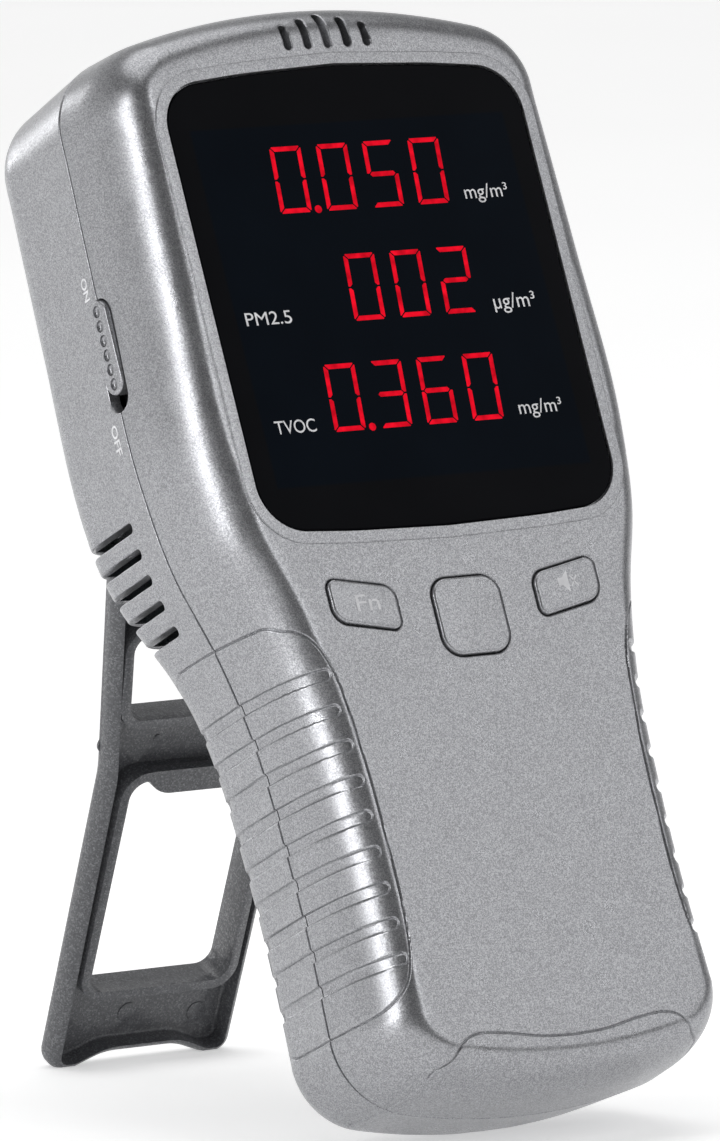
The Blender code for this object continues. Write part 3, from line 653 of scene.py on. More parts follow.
def grip_line():
    """The engraved line round the right grip, over both shells."""
    front = [(37.4, -60.2), (35.8, -61.2), (34.1, -62.9), (32.6, -65.2), (31.4, -68.2), (30.4, -72.4),
             (29.5, -81.0), (28.9, -92.0), (28.7, -108.0), (29.1, -116.5), (29.7, -121.0),
             (30.8, -124.6), (32.1, -126.8), (33.6, -128.3)]
    top = [(-58.5, 33.5), (-58.4, 29.0), (-58.4, 24.0), (-58.5, 20.0), (-58.7, 15.0), (-59.0, 10.0),
           (-59.4, 6.5)]
    low = [(-129.0, 6.5), (-129.4, 10.0), (-129.6, 15.0), (-129.6, 20.0), (-129.6, 25.0),
           (-129.5, 30.0), (-129.2, 33.0)]
    back = [(-127.6, 36.2), (-124.0, 37.4), (-112.0, 37.6), (-95.0, 37.6), (-78.0, 37.8),
            (-64.5, 38.4), (-60.8, 37.2)]
    top, low, back = ([wall_points(side_row(u), [v])[0] for u, v in run] for run in (top, low, back))
    return smooth_line(np.vstack([top, front_points(front), low, back, top[:1]]), LINE_STEP)


def groove_line(index):
    """One groove's middle line on the right, from its front tip to its rear tip."""
    u = GROOVE_FIRST - GROOVE_PITCH * index
    tip = 31.6 - 1.6 * ease(index / 3) + GROOVE_HALF
    nose = front_points([(tip, u)])
    nose_depth = float(nose[0, 1])
    first = nose_depth + (6.0 - nose_depth) * np.array([0.15, 0.4, 0.7, 1.0])
    rest = wall_points(side_row(u), list(first) + GROOVE_DEPTHS)
    rest[:, 2] = u
    return smooth_line(np.vstack([nose, rest]), 1.0)


def base_line():
    """The engraved line across the casing's lower end, over both shells."""
    half = front_points([(0.0, -138.0), (7.0, -137.6), (13.0, -136.5), (18.0, -135.9),
                         (20.4, -136.0), (22.3, -136.6), (24.1, -138.0), (25.5, -139.8)])
    lower = slice(len(ROWS) - 1, len(ROWS) - 1 - 2 * OUTLINE_STEPS, -1)
    row = float(np.interp(28.8, OUTLINE[lower, 0], ROWS[lower]))
    wall = wall_points(row, [4.5, 7.0, 11.0, 15.0, 20.0, 26.0, 32.0])
    back = [(26.0, 38.6, -140.4), (24.2, 39.8, -138.2), (22.3, 40.0, -136.6), (20.4, 40.0, -136.0),
            (16.0, 40.0, -136.3), (8.0, 40.0, -137.3), (0.0, 40.0, -137.8)]
    return smooth_line(np.vstack([half, wall, back]), LINE_STEP)


def engravings():
    """Every engraved line and groove of the casing, for its right half."""
    lines = [Engraving(line, LINE_HALF, LINE_DEPTH, LINE_WALL) for line in (grip_line(), base_line())]
    for i in range(GROOVES):
        lines.append(Engraving(groove_line(i), GROOVE_HALF, GROOVE_DEPTH, GROOVE_WALL, GROOVE_FINE))
    return lines


def soft_edges(rear):
    """The rounded edges of a shell's openings, seen on its right half."""
    beside, behind, ahead = (0, 30.0, 60.0), (0, 33.0, 60.0), (1, -1.0, 5.5)   # axis, low, high
    edges = [SoftEdge(slider_slot(), [1, 2], beside, 0.25, sides=(-1,)),
             SoftEdge(socket_opening(), [1, 2], beside, 0.2, sides=(1,))]
    if rear:
        for i in range(VENT_COUNT):
            outline = vent_outline(VENT_FIRST - VENT_PITCH * i)
            edges.append(SoftEdge(outline, [1, 2], behind, 0.25))
    else:
        keys = key_corners(GAP)
        edges.append(SoftEdge(window_outline(0.0), [0, 2], ahead, 0.4))
        edges += [SoftEdge(rounded(keys[side]), [0, 2], ahead, 0.35) for side in ("middle", "right")]
        edges += [SoftEdge(outline, [0, 2], ahead, 0.25) for outline in top_slot_outlines()[2:]]
    return edges


# ------------------------------------------------------------- pieces


def add_object(name, data):
    obj = bpy.data.objects.new(name, data)
    bpy.context.scene.collection.objects.link(obj)
    return obj


def add_piece(name, mesh, materials, matrix, body, replaces=()):
    """Moves a mesh from its own frame to the world, as a piece that rides on a CAD body."""
    mesh.transform(matrix)
    obj = add_object(name, mesh)
    mesh.materials.clear()
    for material in materials:
        mesh.materials.append(material)
    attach(obj, body)
    if replaces:
        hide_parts(*replaces)
    return obj


def mesh_from(name, verts, faces, sharp=50.0):
    """A mesh from points in millimetres, shaded smooth except at edges sharper than an angle."""
    mesh = bpy.data.meshes.new(name)
    mesh.from_pydata((np.asarray(verts, float) * MM).tolist(), [], faces)
    mesh.update()
    smooth(mesh, sharp)
    return mesh


def smooth(mesh, sharp=50.0):
    """Shades the mesh smooth except at edges sharper than an angle in degrees."""
    mesh.shade_smooth()
    mesh.set_sharp_from_angle(angle=math.radians(sharp))


def face_outwards(mesh, recalculate=True, merge=0.0):
    """Turns a closed mesh's faces outwards, after joining points closer than merge, in metres."""
    shape = bmesh.new()
    shape.from_mesh(mesh)
    if merge > 0:
        bmesh.ops.remove_doubles(shape, verts=shape.verts, dist=merge)
    if recalculate:
        bmesh.ops.recalc_face_normals(shape, faces=shape.faces)
    if shape.calc_volume(signed=True) < 0:
        bmesh.ops.reverse_faces(shape, faces=shape.faces)
    shape.to_mesh(mesh)
    shape.free()


def read_points(mesh):
    """The mesh's points, in its own units, one to a row."""
    points = np.empty(len(mesh.vertices) * 3)
    mesh.vertices.foreach_get("co", points)
    return points.reshape(-1, 3)


def write_points(mesh, points):
    """Moves the mesh's points to places given in millimetres."""
    mesh.vertices.foreach_set("co", (points * MM).ravel())


def evaluated_mesh(obj):
    """A new mesh of the object as its modifiers or its text shape make it."""
    graph = bpy.context.evaluated_depsgraph_get()
    return bpy.data.meshes.new_from_object(obj.evaluated_get(graph))


def loft(name, rings, sharp=50.0):
    """A closed solid through rings of equally many points, with flat ends."""
    count = len(rings[0])
    verts = [p for ring in rings for p in ring]
    faces = [list(range(count))[::-1]]
    for k in range(len(rings) - 1):
        for i in range(count):
            j = (i + 1) % count
            faces.append([k * count + i, k * count + j, (k + 1) * count + j, (k + 1) * count + i])
    faces.append([(len(rings) - 1) * count + i for i in range(count)])
    mesh = mesh_from(name, verts, faces, sharp)
    face_outwards(mesh)
    smooth(mesh, sharp)
    return mesh


def inset_loop(points, inset):
    """A flat closed loop moved inwards by inset."""
    points = np.asarray(points, float)
    before, after = np.roll(points, 1, axis=0), np.roll(points, -1, axis=0)
    a = (points - before) / np.maximum(np.linalg.norm(points - before, axis=1), 1e-9)[:, None]
    b = (after - points) / np.maximum(np.linalg.norm(after - points, axis=1), 1e-9)[:, None]
    area = np.sum(points[:, 0] * after[:, 1] - points[:, 1] * after[:, 0])
    turn = 1.0 if area > 0 else -1.0
    na = np.stack([-a[:, 1], a[:, 0]], axis=1) * turn
    nb = np.stack([-b[:, 1], b[:, 0]], axis=1) * turn
    bisector = na + nb
    bisector /= np.maximum(np.linalg.norm(bisector, axis=1), 1e-9)[:, None]
    reach = inset / np.maximum(np.einsum("ij,ij->i", bisector, na), 0.4)
    return points + bisector * reach[:, None]


def block(name, outline, low, high, low_edge=0.0, high_edge=0.0, steps=5, plane="front"):
    """A solid with a flat outline, from depth low to high, whose two edges may be rounded.

    The outline is in (x, u) with its depth along v, or for plane "side" in (v, u) with its
    depth along x.
    """
    levels = []
    quarter = np.linspace(0.0, math.pi / 2, steps + 1)
    for end, edge, turns in ((low, low_edge, quarter), (high, -high_edge, quarter[::-1])):
        if edge == 0:
            levels.append((end, 0.0))
        else:
            levels += [(end + edge * (1 - math.cos(t)), abs(edge) * (1 - math.sin(t))) for t in turns]
    rings = []
    for depth, inset in levels:
        loop = inset_loop(outline, inset) if inset > 1e-6 else np.asarray(outline, float)
        if plane == "front":
            rings.append([(x, depth, u) for x, u in loop])
        else:
            rings.append([(depth, v, u) for v, u in loop])
    return loft(name, rings)


def circle(centre, radius, steps=32):
    """A closed circle's points, without the first again at the end."""
    return arc(centre, radius, 0, 360, steps)[:-1]


def round_bar(name, centre, radius, low, high, steps=32):
    """A round bar along v about a centre in (x, u)."""
    ring = [(centre[0] + x, centre[1] + u) for x, u in circle((0.0, 0.0), radius, steps)]
    return block(name, ring, low, high)


def combine(target, tools, operation, solver="EXACT"):
    """The mesh of target after cutting or joining it with each tool mesh, one after another."""
    base = add_object("combine_base", target)
    helpers = [add_object("combine_tool", tool) for tool in tools]
    for helper in helpers:
        mod = base.modifiers.new("combine", "BOOLEAN")
        mod.operation = operation
        mod.solver = solver
        mod.object = helper
    mesh = evaluated_mesh(base)
    for obj in [base, *helpers]:
        bpy.data.objects.remove(obj, do_unlink=True)
    return mesh


def bevelled(mesh, width, segments, angle=40.0):
    """The mesh with its sharp edges rounded."""
    obj = add_object("bevel_base", mesh)
    mod = obj.modifiers.new("bevel", "BEVEL")
    mod.width = width * MM
    mod.segments = segments
    mod.limit_method = "ANGLE"
    mod.angle_limit = math.radians(angle)
    mod.miter_outer = "MITER_ARC"
    mod.use_clamp_overlap = True
    mod.harden_normals = True
    made = evaluated_mesh(obj)
    bpy.data.objects.remove(obj, do_unlink=True)
    return made


# ------------------------------------------------------------- casing shells


def shell_mesh(name, rear):
    """A casing shell with its engraved lines, grooves and soft edges, before it is cut."""
    section = Section(rear)
    details = engravings() + soft_edges(rear)

    def closeness(points):
        gap = np.full(len(points), np.inf)
        fine = np.zeros(len(points))
        for detail in details:
            near = detail.gap(points)
            closer = near < gap
            gap = np.where(closer, near, gap)
            fine = np.where(closer, detail.fine, fine)
        return gap, fine

    rows, columns, faces = cell_faces(split_cells(section, closeness))
    smooth_points = section.place(rows, columns)
    outward = section.normals(rows, columns)
    outer = columns <= section.outside
    inner_face = np.array([columns[face].min() >= section.outside for face in faces])
    halves = []
    for side in (1, -1):
        depth = np.zeros(len(rows))
        for detail in details:
            depth[outer] = np.maximum(depth[outer], detail.relief(smooth_points[outer], side))
        depth[outer] = np.maximum(depth[outer], seam_relief(smooth_points[outer]))
        halves.append((smooth_points - outward * depth[:, None]) * (side, 1.0, 1.0))
    middle = np.abs(smooth_points[:, 0]) < 1e-6
    halves[0][middle, 0] = 0.0
    halves[1][middle] = halves[0][middle]
    verts = np.vstack(halves)
    count = len(rows)
    keys = np.round(np.vstack([smooth_points, smooth_points * (-1, 1, 1)]), 5) + 0.0
    _, first, same = np.unique(keys, axis=0, return_index=True, return_inverse=True)
    same = same.ravel()
    polygons, slots = [], []
    for side in (0, 1):
        for face, inner in zip(faces, inner_face):
            ids = [int(same[i + side * count]) for i in face]
            loop = [a for a, b in zip(ids, ids[1:] + ids[:1]) if a != b]
            if len(set(loop)) < 3:
                continue
            polygons.append(loop[::-1] if side else loop)
            slots.append(1 if inner else 0)
    mesh = mesh_from(name, raise_to_floor(verts[first], CASING), polygons)
    mesh.polygons.foreach_set("material_index", slots)
    face_outwards(mesh, recalculate=False)
    return mesh


def raise_to_floor(points, matrix):
    """Points in millimetres, with those that would be under the floor raised onto it."""
    rotation = np.array(matrix.to_3x3())
    origin = np.array(matrix.translation)
    height = (points * MM) @ rotation[2] + origin[2]
    lift = np.maximum(0.0, -height) / MM
    return points + lift[:, None] * rotation[2][None, :]


VENT_REACH = (9.0, 4.0)       # how far a vent's cutter goes into and out of the casing's side
SIDE_REACH = (41.0, 56.0)     # from where to where the slot's and the socket's cutters go, in x
HEAD_BORE = (3.0, 6.0)        # radius and depth of a case screw's head bore
SHANK_BORE = (1.6, 4.0)       # radius and distance from the back of its shank bore
BOSS_RADIUS = 4.2


def vent_cutters():
    """Slots through both rear corners of the head."""
    cutters = []
    for side in (-1, 1):
        for i in range(VENT_COUNT):
            u = VENT_FIRST - VENT_PITCH * i
            edge = float(half_width(u))
            ends = sorted((side * (edge - VENT_REACH[0]), side * (edge + VENT_REACH[1])))
            cutters.append(block("vent", vent_outline(u), *ends, plane="side"))
    return cutters


def side_cutters():
    """The power slider's slot and the charging socket's opening."""
    near, far = SIDE_REACH
    return [block("slider_slot", slider_slot(), -far, -near, plane="side"),
            block("socket_opening", socket_opening(), near, far, plane="side")]


SURROUND = 2.15               # width of the slightly raised band round the display window
SURROUND_PROUD = 0.24
SURROUND_ROOT = 1.0
SURROUND_EDGE = 0.2
AHEAD = -2.0                  # v that cutters of the front face start at
KEY_HOLE_END = FACE_WALL + 4.0
WINDOW_HOLE_END = FACE_WALL + 6.0
TOP_SLOT_END = 12.0


def finish_casing(name, mesh, materials, node):
    """Adds a casing shell that has had all its openings cut."""
    smooth(mesh)
    mesh.name = name
    add_piece(name, mesh, materials, CASING, "casing", [node])


def make_front_casing(silver, lining):
    """The front shell: the raised band, the window's seat, key holes and top slots."""
    mesh = shell_mesh("front_casing", False)
    surround = block("surround", window_outline(SURROUND), -SURROUND_PROUD, SURROUND_ROOT,
                     low_edge=SURROUND_EDGE, steps=4)
    mesh = combine(mesh, [surround], "UNION", "MANIFOLD")
    cutters = [block("window_recess", window_outline(0.0), AHEAD, WINDOW_THICK + GAP),
               block("window_opening", window_outline(-WINDOW_LEDGE), AHEAD - 1.0, WINDOW_HOLE_END)]
    for corners in key_corners(GAP).values():
        cutters.append(block("key_hole", rounded(corners), AHEAD, KEY_HOLE_END))
    cutters += [block("top_slot", outline, AHEAD, TOP_SLOT_END) for outline in top_slot_outlines()]
    mesh = combine(mesh, cutters + side_cutters(), "DIFFERENCE", "MANIFOLD")
    finish_casing("front_casing", mesh, [silver, lining], "front_shell")


LUG_THICK = 4.4 - GAP
LUG_RADIUS = 3.6
LUG_ROOT = 1.5                # how deep it is rooted in the casing's back
LUG_HALF = 6.5                # half its height at the root
LUG_EDGE = 0.5


def hinge_lugs():
    """The two lugs on the back that hold the stand's pin."""
    outline = arc((HINGE_V, HINGE_U), LUG_RADIUS, -60, 60, 24)
    outline += [(HEAD_DEPTH - LUG_ROOT, HINGE_U + LUG_HALF), (HEAD_DEPTH - LUG_ROOT, HINGE_U - LUG_HALF)]
    inner = STAND_TOP_HALF + GAP
    lugs = []
    for side in (-1, 1):
        ends = sorted((side * inner, side * (inner + LUG_THICK)))
        lugs.append(block("lug", outline, *ends, LUG_EDGE, LUG_EDGE, 3, plane="side"))
    return lugs


def make_rear_casing(silver, lining):
    """The rear shell: screw bosses and bores, hinge lugs and vents."""
    mesh = shell_mesh("rear_casing", True)
    bosses = [round_bar("boss", (x, u), BOSS_RADIUS, PARTING - 0.5, float(casing_depth(u)) - 1.0)
              for x, u in CASE_SCREWS]
    mesh = combine(mesh, bosses + hinge_lugs(), "UNION", "MANIFOLD")
    reach = STAND_TOP_HALF + 9.0
    hole = circle((HINGE_V, HINGE_U), PIN_RADIUS + GAP)
    cutters = [block("pin_hole", hole, -reach, reach, plane="side")]
    for x, u in CASE_SCREWS:
        back = float(casing_depth(u))
        radius, deep = HEAD_BORE
        cutters.append(round_bar("head_bore", (x, u), radius, back - deep, back + 3.0))
        radius, deep = SHANK_BORE
        cutters.append(round_bar("shank_bore", (x, u), radius, PARTING - 2.0, back - deep))
    cutters += vent_cutters() + side_cutters()
    mesh = combine(mesh, cutters, "DIFFERENCE", "MANIFOLD")
    finish_casing("rear_casing", mesh, [silver, lining], "rear_shell")


# ------------------------------------------------------------- display

DIGIT_X = (-14.95, -5.1, 4.7, 14.45)
DIGIT_ROWS = (("row_1", 20.2, "0.050"), ("row_2", -0.33, " 002"), ("row_3", -20.25, "0.360"))
DIGIT_WIDE = 6.55
DIGIT_TALL = 12.35
SEGMENT = 0.86
SEGMENT_GAP = 0.17
DIGIT_SLANT = 0.07
DOT_RADIUS = 0.72
DOT_BESIDE = 4.3
SEGMENT_CORNER = 0.12
LIT_ROOT = 0.4
GLASS_EDGE = 0.35
PRINT = 0.03                  # how far printed and lit marks stand out of their surface
PRINT_ROOT = 0.2              # how deep printed marks go into it
LIT_SEGMENTS = {"0": "abcdef", "2": "abdeg", "3": "abcdg", "5": "acdfg", "6": "acdefg"}


def segment_shapes():
    """The seven segments of a digit, each with slanting ends, about the digit's middle."""
    side, top, wide, gap = DIGIT_WIDE / 2, DIGIT_TALL / 2, SEGMENT, SEGMENT_GAP
    bar = [(-side + gap, top), (side - gap, top), (side - wide - gap, top - wide),
           (-side + wide + gap, top - wide)]
    post = [(-side, top - gap), (-side, gap), (-side + wide / 2, gap), (-side + wide, wide / 2 + gap),
            (-side + wide, top - wide - gap)]
    middle = [(-side + wide / 2 + gap, 0.0), (-side + wide + gap, wide / 2)]
    middle += [(-x, y) for x, y in reversed(middle)] + [(side - wide - gap, -wide / 2)]
    middle.append((-side + wide + gap, -wide / 2))
    return {"a": bar, "d": [(x, -y) for x, y in bar], "g": middle,
            "f": post, "b": [(-x, y) for x, y in post],
            "e": [(x, -y) for x, y in post], "c": [(-x, -y) for x, y in post]}


def anticlockwise(points):
    """A flat closed loop's points in the order that block and rounded work with."""
    points = np.asarray(points, float)
    after = np.roll(points, -1, axis=0)
    area = np.sum(points[:, 0] * after[:, 1] - points[:, 1] * after[:, 0])
    return points if area > 0 else points[::-1]


def joined(name, meshes):
    """One mesh holding all the given meshes."""
    shape = bmesh.new()
    for mesh in meshes:
        shape.from_mesh(mesh)
    made = bpy.data.meshes.new(name)
    shape.to_mesh(made)
    shape.free()
    for mesh in meshes:
        bpy.data.meshes.remove(mesh)
    smooth(made)
    return made


def make_digits(lit):
    """The three rows of lit seven-segment digits, with a dot in the first and the last."""
    shapes = segment_shapes()
    for name, middle, text in DIGIT_ROWS:
        digits = text.replace(".", "")
        meshes = []
        for x, digit in zip(DIGIT_X, digits):
            for key in LIT_SEGMENTS.get(digit, ""):
                corners = [(px, py, SEGMENT_CORNER) for px, py in anticlockwise(shapes[key])]
                leaned = [(x + px + DIGIT_SLANT * py, middle + py) for px, py in rounded(corners, 3)]
                meshes.append(block(f"segment_{key}", leaned, -PRINT, LIT_ROOT))
        if "." in text:
            place = (DIGIT_X[0] + DOT_BESIDE, middle - (DIGIT_TALL - SEGMENT) / 2)
            meshes.append(round_bar("dot", place, DOT_RADIUS, -PRINT, LIT_ROOT, 24))
        mesh = joined(f"digits_{name}", meshes)
        add_piece(f"digits_{name}", mesh, [lit], CASING, "casing")


def make_glass(smoked):
    """The smoked window, whose front edge is rounded."""
    mesh = block("display_glass", window_outline(-GAP), 0.0, WINDOW_THICK, low_edge=GLASS_EDGE)
    add_piece("display_glass", mesh, [smoked], CASING, "casing", ["display_window"])


# ------------------------------------------------------------- printed marks


def letters(name, text, low, high, height=None, depth=(-PRINT, PRINT_ROOT), weight=0.0):
    """Solid letters in (x, u), from their lower left corner at low to their lower right at high.

    The capitals are as tall as height, or in proportion to the letters' width without it.
    """
    curve = bpy.data.curves.new(name, "FONT")
    curve.body = text
    curve.extrude = 0.1
    curve.offset = weight
    curve.resolution_u = 6
    obj = add_object(name, curve)
    mesh = evaluated_mesh(obj)
    bpy.data.objects.remove(obj, do_unlink=True)
    bpy.data.curves.remove(curve)
    co = read_points(mesh)
    start, end = co.min(0), co.max(0)
    low, high = np.array(low, float), np.array(high, float)
    run = high - low
    wide = np.linalg.norm(run)
    scale = wide / (end[0] - start[0])
    tall = scale if height is None else height / (end[1] - max(start[1], 0.0))
    right = run / wide
    up = np.array([-right[1], right[0]])
    flat = low + (co[:, :1] - start[0]) * scale * right + co[:, 1:2] * tall * up
    v = np.where(co[:, 2] > 0, depth[0], depth[1])
    write_points(mesh, np.column_stack([flat[:, 0], v, flat[:, 1]]))
    face_outwards(mesh, merge=1e-7)
    smooth(mesh, 30.0)
    return mesh


def make_display_marks(ink):
    """The units right of the numbers and the names left of them."""
    marks = {"unit_1": ("mg/m³", (20.9, 14.5), (30.2, 14.5)),
             "unit_2": ("µg/m³", (21.2, -6.2), (30.2, -6.2)),
             "unit_3": ("mg/m³", (20.9, -25.9), (30.2, -25.9)),
             "name_2": ("PM2.5", (-31.4, -6.0), (-21.8, -6.0)),
             "name_3": ("TVOC", (-30.8, -26.0), (-22.3, -26.0))}
    for name, (text, low, high) in marks.items():
        height = 2.4 if name.startswith("name") else None
        mesh = letters(name, text, low, high, height)
        add_piece(f"display_{name}", mesh, [ink], CASING, "casing")


def make_key_marks(ink):
    """Fn on the left key and a crossed-out speaker on the right key."""
    face = (-KEY_PROUD - PRINT, -KEY_PROUD + PRINT_ROOT)
    mesh = letters("fn", "Fn", (-23.4, -59.2), (-18.6, -59.2), 3.0, face)
    add_piece("left_key_mark", mesh, [ink], CASING, "left_key")
    x, u = 21.6, -57.2
    speaker = [(x - 2.0, u - 0.7), (x - 1.1, u - 0.7), (x + 0.2, u - 2.0), (x + 0.2, u + 2.0),
               (x - 1.1, u + 0.7), (x - 2.0, u + 0.7)]
    strokes = [speaker]
    for a, b in (((x + 0.7, u - 1.0), (x + 2.1, u + 1.0)), ((x + 0.7, u + 1.0), (x + 2.1, u - 1.0))):
        run = Vector(b) - Vector(a)
        off = Vector((-run.y, run.x)).normalized() * 0.14
        strokes.append([(a[0] + off.x, a[1] + off.y), (a[0] - off.x, a[1] - off.y),
                        (b[0] - off.x, b[1] - off.y), (b[0] + off.x, b[1] + off.y)])
    meshes = [block("stroke", anticlockwise(stroke), *face) for stroke in strokes]
    add_piece("right_key_mark", joined("mute", meshes), [ink], CASING, "right_key")


def make_switch_marks(ink):
    """ON above and OFF below the power slider, reading downwards on the left side."""
    for name, text, base, start, end in (("on", "ON", 4.2, 12.0, 7.8),
                                         ("off", "OFF", 4.6, -15.1, -20.6)):
        mesh = letters(name, text, (0.0, 0.0), (start - end, 0.0), 2.0, (0.0, 1.0), 0.014)
        co = read_points(mesh) / MM
        u = start - co[:, 0]
        v = PARTING + base - co[:, 2]
        wall = half_width(u) - DRAFT * (v - PARTING)
        x = -(wall + np.where(co[:, 1] > 0.5, -PRINT_ROOT, PRINT))
        write_points(mesh, np.column_stack([x, v, u]))
        face_outwards(mesh)
        add_piece(f"switch_mark_{name}", mesh, [ink], CASING, "casing")


# ------------------------------------------------------------- keys and slider


KEY_EDGE = 0.5
KEY_BACK = 4.7                # v of the back of a key and of its flange
FLANGE = (1.2, 1.2)           # width past the key's outline and thickness
STEM = (1.5, 4.3, 5.9)        # radius and both ends' v


def make_keys(silver):
    """Three key caps, each with the flange that keeps it in and the stem that presses its switch."""
    flanges = key_corners(FLANGE[0])
    for side, corners in key_corners().items():
        cap = block("cap", rounded(corners, 10), -KEY_PROUD, KEY_BACK, low_edge=KEY_EDGE, steps=6)
        flange = block("flange", rounded(flanges[side]), KEY_BACK - FLANGE[1], KEY_BACK)
        centre = (sum(c[0] for c in corners) / 4, sum(c[1] for c in corners) / 4)
        mesh = combine(cap, [flange, round_bar("stem", centre, *STEM, 24)], "UNION")
        smooth(mesh)
        add_piece(f"{side}_key_cap", mesh, [silver], CASING, f"{side}_key",
                  [f"{side}_key"])


KNOB_PROUD = 0.5
KNOB_ROOT = 2.0               # how far past the casing's wall the knob reaches
KNOB_EDGE = 0.45
KNOB_STOP = 0.12              # how far short of its slot's end the knob stops
DIMPLES = 6
DIMPLE_FIRST = 4.75
DIMPLE_PITCH = 2.68
DIMPLE_RADIUS = 1.1
DIMPLE_DEPTH = 0.65
DIMPLE_ROUND = 0.5
SHUTTER_HALF = 4.6
SHUTTER_LAP = 1.4             # how far it reaches past the knob's ends
SHUTTER_NEAR = 1.75           # where it begins and ends behind the casing's wall
SHUTTER_FAR = 2.6


def make_slider(silver, dark):
    """The dimpled knob of the power slider and the shutter behind its slot."""
    top = SLOT_TOP - GAP
    low = top - KNOB_LENGTH
    edge = float(half_width(0.0))
    face = -edge - KNOB_PROUD
    wall = -edge + WALL
    outline = [(v + PARTING, u) for v, u in stadium(KNOB_HALF, low + KNOB_STOP, top)]
    knob = block("knob", outline, face, wall + KNOB_ROOT, low_edge=KNOB_EDGE, steps=6, plane="side")
    dimples = []
    for i in range(DIMPLES):
        ring = circle((PARTING, DIMPLE_FIRST - DIMPLE_PITCH * i), DIMPLE_RADIUS)
        dimples.append(block("dimple", ring, face - 1.0, face + DIMPLE_DEPTH, high_edge=DIMPLE_ROUND,
                             plane="side"))
    mesh = combine(knob, dimples, "DIFFERENCE")
    smooth(mesh, 40.0)
    add_piece("power_slider_knob", mesh, [silver], CASING, "slider", ["power_slider"])
    plate = box_corners(PARTING, SHUTTER_HALF, low - SHUTTER_LAP, top + SHUTTER_LAP, 1.0)
    mesh = block("shutter", rounded(plate, 6), wall + SHUTTER_NEAR, wall + SHUTTER_FAR, 0.2, 0.2, 3,
                 plane="side")
    add_piece("power_slider_shutter", mesh, [dark], CASING, "slider")


# ------------------------------------------------------------- stand


def stand_outline(margin):
    """The stand's outline in (x, u) from its hinge down, grown by margin."""
    foot = STAND_FOOT + margin
    right = [(STAND_TOP_HALF + margin, 6.0, 0.0), (STAND_LEG_HALF + 0.6 + margin, -STAND_BEND, 24.0),
             (STAND_LEG_HALF + margin, -foot, 3.6 + margin), (STAND_LEG_HALF - 5.5, -foot, 2.5),
             (8.0, -foot + 2.7, 12.0)]
    return rounded(mirrored(right), 12)


# each window of the stand, as its upper and its lower corner's half width, u and radius
STAND_WINDOWS = [((21.4, -31.8, 3.2), (18.6, -49.3, 3.2)), ((15.2, -62.1, 3.6), (15.2, -105.6, 3.2))]


def stand_windows(margin):
    """The outlines of the stand's two windows, grown by margin."""
    outlines = []
    for (x0, u0, r0), (x1, u1, r1) in STAND_WINDOWS:
        right = [(x0 + margin, u0 + margin, r0 + margin), (x1 + margin, u1 - margin, r1 + margin)]
        outlines.append(rounded(mirrored(right), 10))
    return outlines


EJECTOR_MARKS = [(-16.8, 112.8, 2.0), (-2.4, 113.1, 2.0), (13.1, 114.6, 2.0), (19.7, 55.9, 1.8),
                 (-19.7, 55.9, 1.8), (-8.7, 55.7, 0.8)]     # x, distance from the hinge, radius


STAND_ROUND = 2.9             # radius of the stand's outer edge
EJECTOR_PROUD = 0.18
STAND_BEVEL = 0.3
TAB = [(13.2, -60.2, 1.0), (9.0, -64.9, 6.0)]      # right corners of the tab under the upper window
TAB_THICK = 2.4
PAST = 50.0                   # how far cutters reach past the stand in x


def half_plane(low, high):
    """A box wider than the stand, from u low to high."""
    return [(PAST, high), (-PAST, high), (-PAST, low), (PAST, low)]


def make_stand(grey):
    """The folding stand: rims round its edge and its openings stand up from a thin web."""
    back = STAND_DEPTH / 2
    plate = block("stand", stand_outline(0.0), -back, back, STAND_ROUND, STAND_ROUND, 8)
    barrel = block("barrel", circle((0.0, 0.0), STAND_BARREL, 48), -STAND_TOP_HALF, STAND_TOP_HALF,
                   0.4, 0.4, 3, plane="side")
    plate = combine(plate, [block("top", half_plane(-1.0, 20.0), -10.0, 10.0)], "DIFFERENCE")
    plate = combine(plate, [barrel], "UNION")
    web = back - STAND_WEB
    pocket = block("pocket", stand_outline(-STAND_RIM), -back - 1.0, web, high_edge=0.5, steps=4)
    kept = [block("pocket_top", half_plane(-10.0, 20.0), -back - 1.6, 10.0)]
    kept += [block("rim", outline, -back - 3.0, back + 1.0) for outline in stand_windows(STAND_RIM)]
    pocket = combine(pocket, kept, "DIFFERENCE")
    plate = combine(plate, [pocket], "DIFFERENCE")
    windows = [block("window", outline, -back - 2.0, back + 2.0) for outline in stand_windows(0.0)]
    plate = combine(plate, windows, "DIFFERENCE")
    tab = block("tab", rounded(mirrored(TAB), 10), -back, -back + TAB_THICK)
    plate = combine(plate, [tab], "UNION")
    discs = [round_bar("ejector", (x, -t), r, web - EJECTOR_PROUD, web + 0.3, 40)
             for x, t, r in EJECTOR_MARKS]
    plate = combine(plate, discs, "UNION")
    bore = block("bore", circle((0.0, 0.0), PIN_RADIUS + GAP), -PAST, PAST, plane="side")
    plate = combine(plate, [bore], "DIFFERENCE")
    plate = bevelled(plate, STAND_BEVEL, 3)
    write_points(plate, raise_to_floor(read_points(plate) / MM, STAND))
    smooth(plate, 35.0)
    add_piece("folding_stand", plate, [grey], STAND, "stand", ["stand"])


def make_pin(steel):
    """The steel pin through the lugs and the stand's barrel."""
    half = STAND_TOP_HALF + 4.2
    ring = circle((HINGE_V, HINGE_U), PIN_RADIUS, 40)
    mesh = block("pin", ring, -half, half, 0.3, 0.3, 3, plane="side")
    add_piece("hinge_pin", mesh, [steel], CASING, "casing", ["stand_pin"])


# ------------------------------------------------------------- materials


